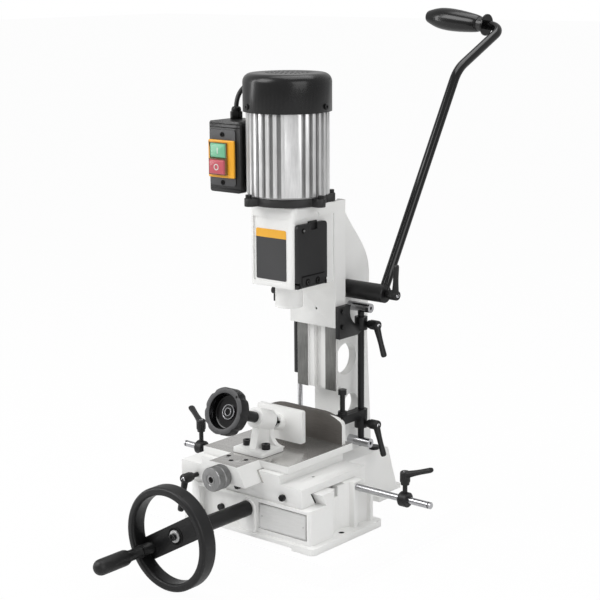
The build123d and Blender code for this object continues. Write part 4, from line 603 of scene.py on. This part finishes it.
# painted shade: a dark disc just inside the small hole in the rim
hole = lobedKnob["hole"]
spot = Vector((hole["reach"] * cos(hole["swing"]), hole["reach"] * sin(hole["swing"]), hole["rise"]))
addPart(knob, disc(hole["radius"], -hole["deep"], 0, 20), standing(knobSeat @ spot, knobUp), 1)
newPiece("lobedKnob", knob, ["satinBlack", "shadeAndBlack", "armBlack", "charcoalPlate"], "clamp_turn",
         ["clamp_knob"])

# wheel grip: slim neck and a round-ended barrel, blind on its pin
spinnerShape = dict(place=(-48.4974, -250.5, 16.0),
                    profile=((4.06, 0), (8.0, 0), (8.5, 0.6), (8.5, 3.4), (8.0, 4.2), (7.9, 19), (8.5, 23),
                             (10.6, 27.5), (11.3, 30), (11.5, 33), (11.5, 74.5), (11.1, 77.5),
                             (9.96, 80.25), (8.13, 82.63), (5.75, 84.46), (2.98, 85.6), (0, 86), (0, 70.3),
                             (4.06, 70.3)))
work = seated(turned(spinnerShape["profile"], steps=64, loop=True), forward(spinnerShape["place"]))
newPiece("spinnerGrip", work, ["leverBlack"], "wheel_spinner", ["wheel_grip"])

# travel stop rod with a groove near each end, its faces painted dark as shade
rodShape = dict(place=(-231, 33, 71.5), length=481.0, radius=5.0, groove=(3.2, 4.8), sunk=1.0, chamfer=0.8)
radius, length, sunk, chamfer = (rodShape[key] for key in ("radius", "length", "sunk", "chamfer"))
near, far = rodShape["groove"]
rodEnd = [(0, 0), (radius - chamfer, 0), (radius, chamfer), (radius, near), (radius - sunk, near),
          (radius - sunk, far), (radius, far)]
otherEnd = [(reach, length - rise) for reach, rise in reversed(rodEnd)]
work = turned(rodEnd + [(radius, length / 2)] + otherEnd, steps=48)
# painted shade: faces inside each groove take the dark finish
for face in work.faces:
    rise = face.calc_center_median().z
    face.material_index = 1 if near - 0.1 < min(rise, length - rise) < far + 0.1 else 0
newPiece("travelRod", seated(work, sideways(rodShape["place"])), ["rodSteel", "shadeAndBlack"], "frame",
         ["travel_stop_rod"])

# feed grip: thin ring, steel ferrule and a barrel that swells towards its end
feedGripShape = dict(corner=(84, 455, 722), tilt=radians(6.0),
                     ring=((5.06, 30), (16.9, 30), (17.4, 30.6), (17.4, 32.6), (16.9, 33.2), (5.06, 33.2)),
                     ferrule=((5.06, 33.2), (12.0, 33.2), (12.0, 45.2), (5.06, 45.2)),
                     barrel=((5.06, 45.2), (12.5, 45.2), (12.9, 45.8), (14.1, 51), (15.2, 58.5),
                             (16.6, 71.8), (17.6, 84), (18.15, 96), (18.15, 104), (17.7, 114), (16.7, 122),
                             (14.9, 129.8), (12.6, 137), (10.9, 141.5), (9.7, 144.6), (8.9, 145.8),
                             (8.35, 145.4), (8.35, 139.7), (5.06, 139.7)))
lean = feedGripShape["tilt"]
gripSeat = standing(feedGripShape["corner"], (-cos(lean), 0, sin(lean)), (0, 1, 0))
work = bmesh.new()
for colour, part in enumerate(("barrel", "ferrule", "ring")):
    addPart(work, turned(feedGripShape[part], steps=72, loop=True), gripSeat, colour)
newPiece("barrelGrip", work, ["gripBlack", "ferruleSteel", "armBlack"], "feed_grip",
         ["feed_handle"])

# feed hub: plain turned barrel round the shaft and the lock stud
hubLow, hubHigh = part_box("feed_hub")[0] * 1000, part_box("feed_hub")[1] * 1000
leverHub = dict(axis=(138, 340), radius=13.8, chamfer=1.5, shaft=9.1, stud=3.6, studDeep=12.0, wall=23.0)
radius, chamfer, shaft, stud = (leverHub[key] for key in ("radius", "chamfer", "shaft", "stud"))
length = hubHigh.x - hubLow.x
work = turned([(shaft, 0), (radius - chamfer, 0), (radius, chamfer), (radius, length - chamfer),
               (radius - chamfer, length), (stud, length), (stud, length - leverHub["studDeep"]),
               (shaft, length - leverHub["wall"])], steps=64, loop=True)
newPiece("leverHub", seated(work, sideways((hubLow.x,) + leverHub["axis"])), ["satinBlack"], "feed_lever",
         ["feed_hub"])

# painted shade: thin dark slab round the clamp bracket's foot, where it stands on the table
bracketShadeShape = dict(low=(-47.5, -57.5, 115.45), high=(11.5, -5.5, 115.8), corner=4.4)
work = slab(bracketShadeShape["low"], bracketShadeShape["high"])
roundCorners(work, 2, bracketShadeShape["corner"])
newPiece("bracketContactShade", work, ["shadeAndBlack"], "table")

# painted shadow: dark sheets at the ends of the gap beside the front gib, where the saddle runs past it
gibShadowShape = dict(inside=2.5, thick=0.5, saddle=(-136.5, 100.5),
              corners=((-43.4, 62.7), (-53.4, 79.8), (-48.8, 79.8), (-38.8, 62.7)))
work = bmesh.new()
for end, inward in zip(gibShadowShape["saddle"], (1, -1)):
    x = end + inward * gibShadowShape["inside"]
    sheet = work.faces.new([work.verts.new((x, y, z)) for y, z in gibShadowShape["corners"]])
    grown = bmesh.ops.extrude_face_region(work, geom=[sheet])
    bmesh.ops.translate(work, vec=(inward * gibShadowShape["thick"], 0, 0),
                        verts=[item for item in grown["geom"] if isinstance(item, bmesh.types.BMVert)])
bmesh.ops.recalc_face_normals(work, faces=work.faces)
newPiece("gibGapShadow", work, ["shadeAndBlack"], "saddle")

# painted shade: dark discs just inside small holes, seen from outside
holeShadeDepth = 0.3
holeShadeDiscs = [
    dict(name="tongueHoleShade", body="table", seat=standing, radius=3.7,
         places=((-38.0, -74.7, 115.56), (-20.6, -89.0, 115.56), (-4.4, -74.4, 115.56))),
    dict(name="saddleHoleShade", body="saddle", seat=standing, radius=2.7,
         places=((-109.0, -14.5, 89.6), (73.0, -14.5, 89.6))),
    dict(name="benchHoleShade", body="frame", seat=standing, radius=5.7,
         places=((-114.0, 0.0, 9.2), (114.0, 0.0, 9.2))),
    dict(name="padScrewShade", body="clamp_face", seat=sideways, radius=2.35, places=((-7.6, 4.0, 154.2),)),
    dict(name="greaseHoleShade", body="head", seat=forward, radius=1.95, places=((-7.0, 93.6, 313.0),)),
]
for plug in holeShadeDiscs:
    work = bmesh.new()
    for spot in plug["places"]:
        addPart(work, disc(plug["radius"], -holeShadeDepth, 0.0, 24), plug["seat"](spot))
    newPiece(plug["name"], work, ["shadeAndBlack"], plug["body"])

# blank two-tone panel on the head's front
frontPanel = dict(low=(-46.5, 1.75, 370.0), high=(10.7, 2.45, 445.0), corner=2.5, band=432.5)
work = slab(frontPanel["low"], frontPanel["high"])
roundCorners(work, 1, frontPanel["corner"])
bmesh.ops.bisect_plane(work, geom=work.verts[:] + work.edges[:] + work.faces[:],
                       plane_co=(0, 0, frontPanel["band"]), plane_no=(0, 0, 1))
for face in work.faces:
    face.material_index = 1 if face.calc_center_median().z > frontPanel["band"] else 0
newPiece("blankPanel", work, ["panelDark", "panelYellow"], "head")

# side cover: hinge band with two bolts in rings of painted shade, a dark line of painted shade above it and
# a pin near the top
coverShape = dict(face=33.6, inside=0.4, y=(10.0, 62.0), pin=(14.0, 446.0), pinAside=0.8,
                  band=dict(z=(366.0, 377.6), rise=1.1, edge=0.5, colour=0),
                  shadeLine=dict(z=(377.8, 379.4), rise=0.5, edge=0.2, colour=2),
                  bolts=((22.2, 369.4), (45.2, 369.4)), boltShadeRing=(2.8, 5.4, -0.4, 0.1),
                  boltHead=(3.2, 1.3, 1.5), pinRing=(3.7, 0.8, 1.2), pinHead=(1.8, 1.2, 0.6))
coverFace = coverShape["face"]
work = bmesh.new()
for part in (coverShape["band"], coverShape["shadeLine"]):
    low = (coverFace - coverShape["inside"], coverShape["y"][0], part["z"][0])
    high = (coverFace + part["rise"], coverShape["y"][1], part["z"][1])
    addPart(work, slab(low, high, part["edge"]), None, part["colour"])
y, z = coverShape["pin"]
addPart(work, screwHead(*coverShape["pinRing"]), sideways((coverFace, y, z)), 2)
addPart(work, screwHead(*coverShape["pinHead"]),
        sideways((coverFace + coverShape["shadeLine"]["rise"], y + coverShape["pinAside"], z)), 3)
for y, z in coverShape["bolts"]:
    seat = sideways((coverFace + coverShape["band"]["rise"], y, z))
    addPart(work, flatRing(*coverShape["boltShadeRing"], 32), seat, 2)
    addPart(work, screwHead(*coverShape["boltHead"]), seat, 1)
newPiece("coverTrim", work, ["coverBlack", "gripBlack", "shadeAndBlack", "knurlSteel"], "cover")

# painted shade: dark strip on the head behind the cover's hinge, seen through the hinge gaps
hingeShadeShape = dict(low=(27.5, 1.2, 360.4), high=(27.75, 73.8, 376.0))
newPiece("hingeGapShade", slab(hingeShadeShape["low"], hingeShadeShape["high"]), ["shadeAndBlack"], "head")

# fan cover screws round its lower edge
capShape = dict(centre=(-14, 37), reach=64.6, height=623.0, angles=(-112, 8, 128), screw=(4.2, 2.6, 1.9))
work = bmesh.new()
for angle in capShape["angles"]:
    out = Vector((cos(radians(angle)), sin(radians(angle)), 0))
    spot = Vector(capShape["centre"] + (capShape["height"],)) + out * capShape["reach"]
    addPart(work, screwHead(*capShape["screw"]), standing(spot, out, (0, 0, 1)))
newPiece("capScrews", work, ["satinBlack"], "head")

# switch: box screws and ribs, the two plain marks and a frame round each button
switchShape = dict(backing=-6.2, screws=((-103.5, 578.5), (-103.5, 507.5)), screw=(3.6, 1.4, 1.7),
                   ribs=(594.0, 589.0, 498.5), ribHalf=0.7, ribX=(-128.6, -70.6), ribY=(-5.9, -4.8),
                   ribEdge=0.35, barHalf=(0.8, 4.6), markOut=0.25, markIn=0.2, markEdge=0.15,
                   ring=(3.4, 4.7, 0, 0.45),
                   panel=-9.7, boot=0.6, bootGap=0.5, bootIn=0.2, bootEdge=0.15,
                   bootTall={"start_button": 2.6, "stop_button": 4.6})
work = bmesh.new()
for x, z in switchShape["screws"]:
    addPart(work, screwHead(*switchShape["screw"]), forward((x, switchShape["backing"], z)))
newPiece("switchScrews", work, ["shadeAndBlack"], "head")
work = bmesh.new()
for z in switchShape["ribs"]:
    (x0, x1), (y0, y1), half = switchShape["ribX"], switchShape["ribY"], switchShape["ribHalf"]
    addPart(work, slab((x0, y0, z - half), (x1, y1, z + half), switchShape["ribEdge"]))
newPiece("switchRibs", work, ["mouldedBlack"], "head")
startLow, startHigh = [corner * 1000 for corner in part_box("start_button")]
stopLow, stopHigh = [corner * 1000 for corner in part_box("stop_button")]
startMiddle, stopMiddle = (startLow + startHigh) / 2, (stopLow + stopHigh) / 2
x, z = startMiddle.x, startMiddle.z
wide, tall = switchShape["barHalf"]
bar = slab((x - wide, startLow.y - switchShape["markOut"], z - tall),
           (x + wide, startLow.y + switchShape["markIn"], z + tall), switchShape["markEdge"])
newPiece("startMark", bar, ["markWhite"], "start")
work = bmesh.new()
addPart(work, flatRing(*switchShape["ring"], 36),
        forward((x, stopLow.y + switchShape["markIn"], stopMiddle.z)))
newPiece("stopMark", work, ["markWhite"], "stop")
work = bmesh.new()
gap, thick = switchShape["bootGap"], switchShape["boot"]
for name, tall in switchShape["bootTall"].items():
    low, high = [corner * 1000 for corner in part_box(name)]
    x0, x1, z0, z1 = low.x - gap, high.x + gap, low.z - gap, high.z + gap
    y0, y1 = switchShape["panel"] - tall, switchShape["panel"] + switchShape["bootIn"]
    for a, b in (((x0 - thick, z0 - thick), (x0, z1 + thick)),
                 ((x1, z0 - thick), (x1 + thick, z1 + thick)),
                 ((x0, z0 - thick), (x1, z0)), ((x0, z1), (x1, z1 + thick))):
        addPart(work, slab((a[0], y0, a[1]), (b[0], y1, b[1]), switchShape["bootEdge"]))
newPiece("buttonBoots", work, ["bootFrame"], "head")

# gland: hex foot, ribbed dome and the lead's hole
glandShape = dict(place=(-114, 37, 598), hexagon=9.5, footHeight=10.8, footEdge=0.5,
                  dome=((0, 9.0), (7.6, 9.0), (7.6, 13.6), (6.7, 16.4), (5.2, 18.0), (3.7, 18.0),
                        (3.6, 15.0), (0, 15.0)), ridge=dict(beyond=7.0, depth=0.5))
work = bmesh.new()
foot = bmesh.new()
bmesh.ops.create_cone(foot, cap_ends=True, segments=6, radius1=glandShape["hexagon"],
                      radius2=glandShape["hexagon"], depth=glandShape["footHeight"])
rounded(foot, foot.edges[:], glandShape["footEdge"])
footMiddle = Vector(glandShape["place"]) + Vector((0, 0, glandShape["footHeight"] / 2))
addPart(work, foot, Matrix.Translation(footMiddle))
addPart(work, turned(glandShape["dome"], steps=24, ridge=glandShape["ridge"]),
        Matrix.Translation(glandShape["place"]))
newPiece("glandNut", work, ["mouldedBlack"], "head", ["lead_gland"])

# lead from the gland to the motor
leadShape = dict(radius=0.0035, route=[(-114, 37, 612), (-114, 37, 636), (-109, 77, 656), (-87, 103, 632),
                                       (-71, 88, 602), (-60.6, 78.6, 598)])
leadCurve = bpy.data.curves.new("motorLead", "CURVE")
leadCurve.dimensions = "3D"
leadCurve.bevel_depth = leadShape["radius"]
leadCurve.bevel_resolution = 6
leadCurve.use_fill_caps = True
spline = leadCurve.splines.new("NURBS")
spline.points.add(len(leadShape["route"]) - 1)
for point, place in zip(spline.points, leadShape["route"]):
    point.co = (place[0] / 1000, place[1] / 1000, place[2] / 1000, 1.0)
spline.order_u = 3
spline.use_endpoint_u = True
spline.resolution_u = 16
leadCurve.materials.append(finishes["leadBlack"])
leadPiece = bpy.data.objects.new("motorLead", leadCurve)
scene.collection.objects.link(leadPiece)
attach(leadPiece, "head")
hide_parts("motor_lead")

# bare name plate with a raised rim and two rivets
plateShape = dict(low=(21.2, -76.6, 18.2), high=(109.8, -70.0, 55.3), corner=2.5, rim=2.0, sunk=0.6,
                  edge=0.3, sharp=0.6, rivetX=(26.5, 104.5), rivetZ=36.75,
                  rivet=((0, 0), (1.6, 0), (1.4, 0.7), (0.8, 1.0), (0, 1.1)))
work = slab(plateShape["low"], plateShape["high"])
roundCorners(work, 1, plateShape["corner"])
front = min(work.faces, key=lambda side: side.calc_center_median().y)
bmesh.ops.inset_region(work, faces=[front], thickness=plateShape["rim"], depth=0.0)
bmesh.ops.translate(work, vec=(0, plateShape["sunk"], 0), verts=front.verts)
front.material_index = 1
sharp = [edge for edge in work.edges if edge.calc_face_angle(0) > plateShape["sharp"]]
rounded(work, sharp, plateShape["edge"])
for x in plateShape["rivetX"]:
    addPart(work, turned(plateShape["rivet"], steps=20),
            forward((x, plateShape["low"][1] + plateShape["sunk"], plateShape["rivetZ"])))
newPiece("barePlate", work, ["plateSilver", "plateGround"], "frame", ["name_plate"])
print("stage 5: small pieces")

# camera at the photograph's place
photoCamera = dict(place=(1.462, -1.703, 0.819), aim=(-0.6274, 0.7504, -0.2079), roll=-0.4, lens=94.1,
                   sensor=36.0)
cameraData = bpy.data.cameras.new("photoCamera")
cameraData.sensor_width = photoCamera["sensor"]
cameraData.lens = photoCamera["lens"]
camera = bpy.data.objects.new("photoCamera", cameraData)
scene.collection.objects.link(camera)
camera.rotation_mode = "QUATERNION"
turn = Vector(photoCamera["aim"]).to_track_quat("-Z", "Y").to_matrix()
camera.rotation_quaternion = (turn @ Matrix.Rotation(radians(photoCamera["roll"]), 3, "Z")).to_quaternion()
camera.location = photoCamera["place"]
scene.camera = camera

# pale floor and a low pale board under the machine
studio = dict(floorDrop=0.0345, floorSize=40.0, boardLow=(-0.19, -0.098), boardHigh=(0.17, 0.27),
              boardGap=0.0004, shade=0.82, rough=0.9, cameraGlow=0.97, glossyGlow=0.3, worldLow=0.32,
              worldHigh=1.0, worldGlossy=0.4)


def seenShare(tree, cameraShare, glossyShare):
    rays = tree.nodes.new("ShaderNodeLightPath")
    return mathNode(tree, "ADD", mathNode(tree, "MULTIPLY", rays.outputs["Is Camera Ray"], cameraShare),
                    mathNode(tree, "MULTIPLY", rays.outputs["Is Glossy Ray"], glossyShare))


def stagePiece(name, material, work):
    mesh = bpy.data.meshes.new(name)
    work.to_mesh(mesh)
    work.free()
    mesh.materials.append(material)
    piece = bpy.data.objects.new(name, mesh)
    scene.collection.objects.link(piece)


paleFloor = bpy.data.materials.new("paleFloor")
paleFloor.use_nodes = True
tree = paleFloor.node_tree
shader = tree.nodes["Principled BSDF"]
shader.inputs["Base Color"].default_value = (studio["shade"],) * 3 + (1.0,)
shader.inputs["Roughness"].default_value = studio["rough"]
glow = tree.nodes.new("ShaderNodeEmission")
glow.inputs["Strength"].default_value = 1.0
blend = tree.nodes.new("ShaderNodeMixShader")
tree.links.new(seenShare(tree, studio["cameraGlow"], studio["glossyGlow"]), blend.inputs[0])
tree.links.new(shader.outputs[0], blend.inputs[1])
tree.links.new(glow.outputs[0], blend.inputs[2])
tree.links.new(blend.outputs[0], tree.nodes["Material Output"].inputs["Surface"])
work = bmesh.new()
bmesh.ops.create_grid(work, x_segments=1, y_segments=1, size=studio["floorSize"] / 2)
bmesh.ops.translate(work, vec=(0, 0, -studio["floorDrop"]), verts=work.verts)
stagePiece("floor", paleFloor, work)
low = studio["boardLow"] + (-studio["floorDrop"],)
high = studio["boardHigh"] + (-studio["boardGap"],)
stagePiece("benchBoard", paleFloor, slab(low, high))

# soft studio light
studioLights = [
    dict(name="keyLight", place=(-0.9, -1.5, 1.9), target=(0, 0, 0.35), size=1.3, power=29.0),
    dict(name="fillLight", place=(2.0, -0.6, 1.1), target=(0, 0, 0.3), size=1.4, power=15.0),
    dict(name="topLight", place=(0.1, 0.4, 2.3), target=(0, 0, 0.3), size=1.6, power=23.0),
    dict(name="stripLight", place=(-1.75, -1.05, 0.9), target=(0, 0, 0.55), size=0.3, height=1.6,
         power=11.0),
]
for spec in studioLights:
    data = bpy.data.lights.new(spec["name"], "AREA")
    data.size = spec["size"]
    if "height" in spec:
        data.shape = "RECTANGLE"
        data.size_y = spec["height"]
    data.energy = spec["power"]
    lamp = bpy.data.objects.new(spec["name"], data)
    scene.collection.objects.link(lamp)
    lamp.location = spec["place"]
    lamp.rotation_mode = "QUATERNION"
    lamp.rotation_quaternion = (Vector(spec["target"]) - lamp.location).to_track_quat("-Z", "Y")

world = bpy.data.worlds.new("studioWorld")
scene.world = world
world.use_nodes = True
sky = world.node_tree
ambient = sky.nodes["Background"]
ambient.inputs["Color"].default_value = (1.0, 1.0, 1.0, 1.0)
strength = sky.nodes.new("ShaderNodeMapRange")
strength.inputs["To Min"].default_value = studio["worldLow"]
strength.inputs["To Max"].default_value = studio["worldHigh"]
sky.links.new(seenShare(sky, 1.0, studio["worldGlossy"]), strength.inputs["Value"])
sky.links.new(strength.outputs[0], ambient.inputs["Strength"])
print("stage 6: camera, floor and lights")
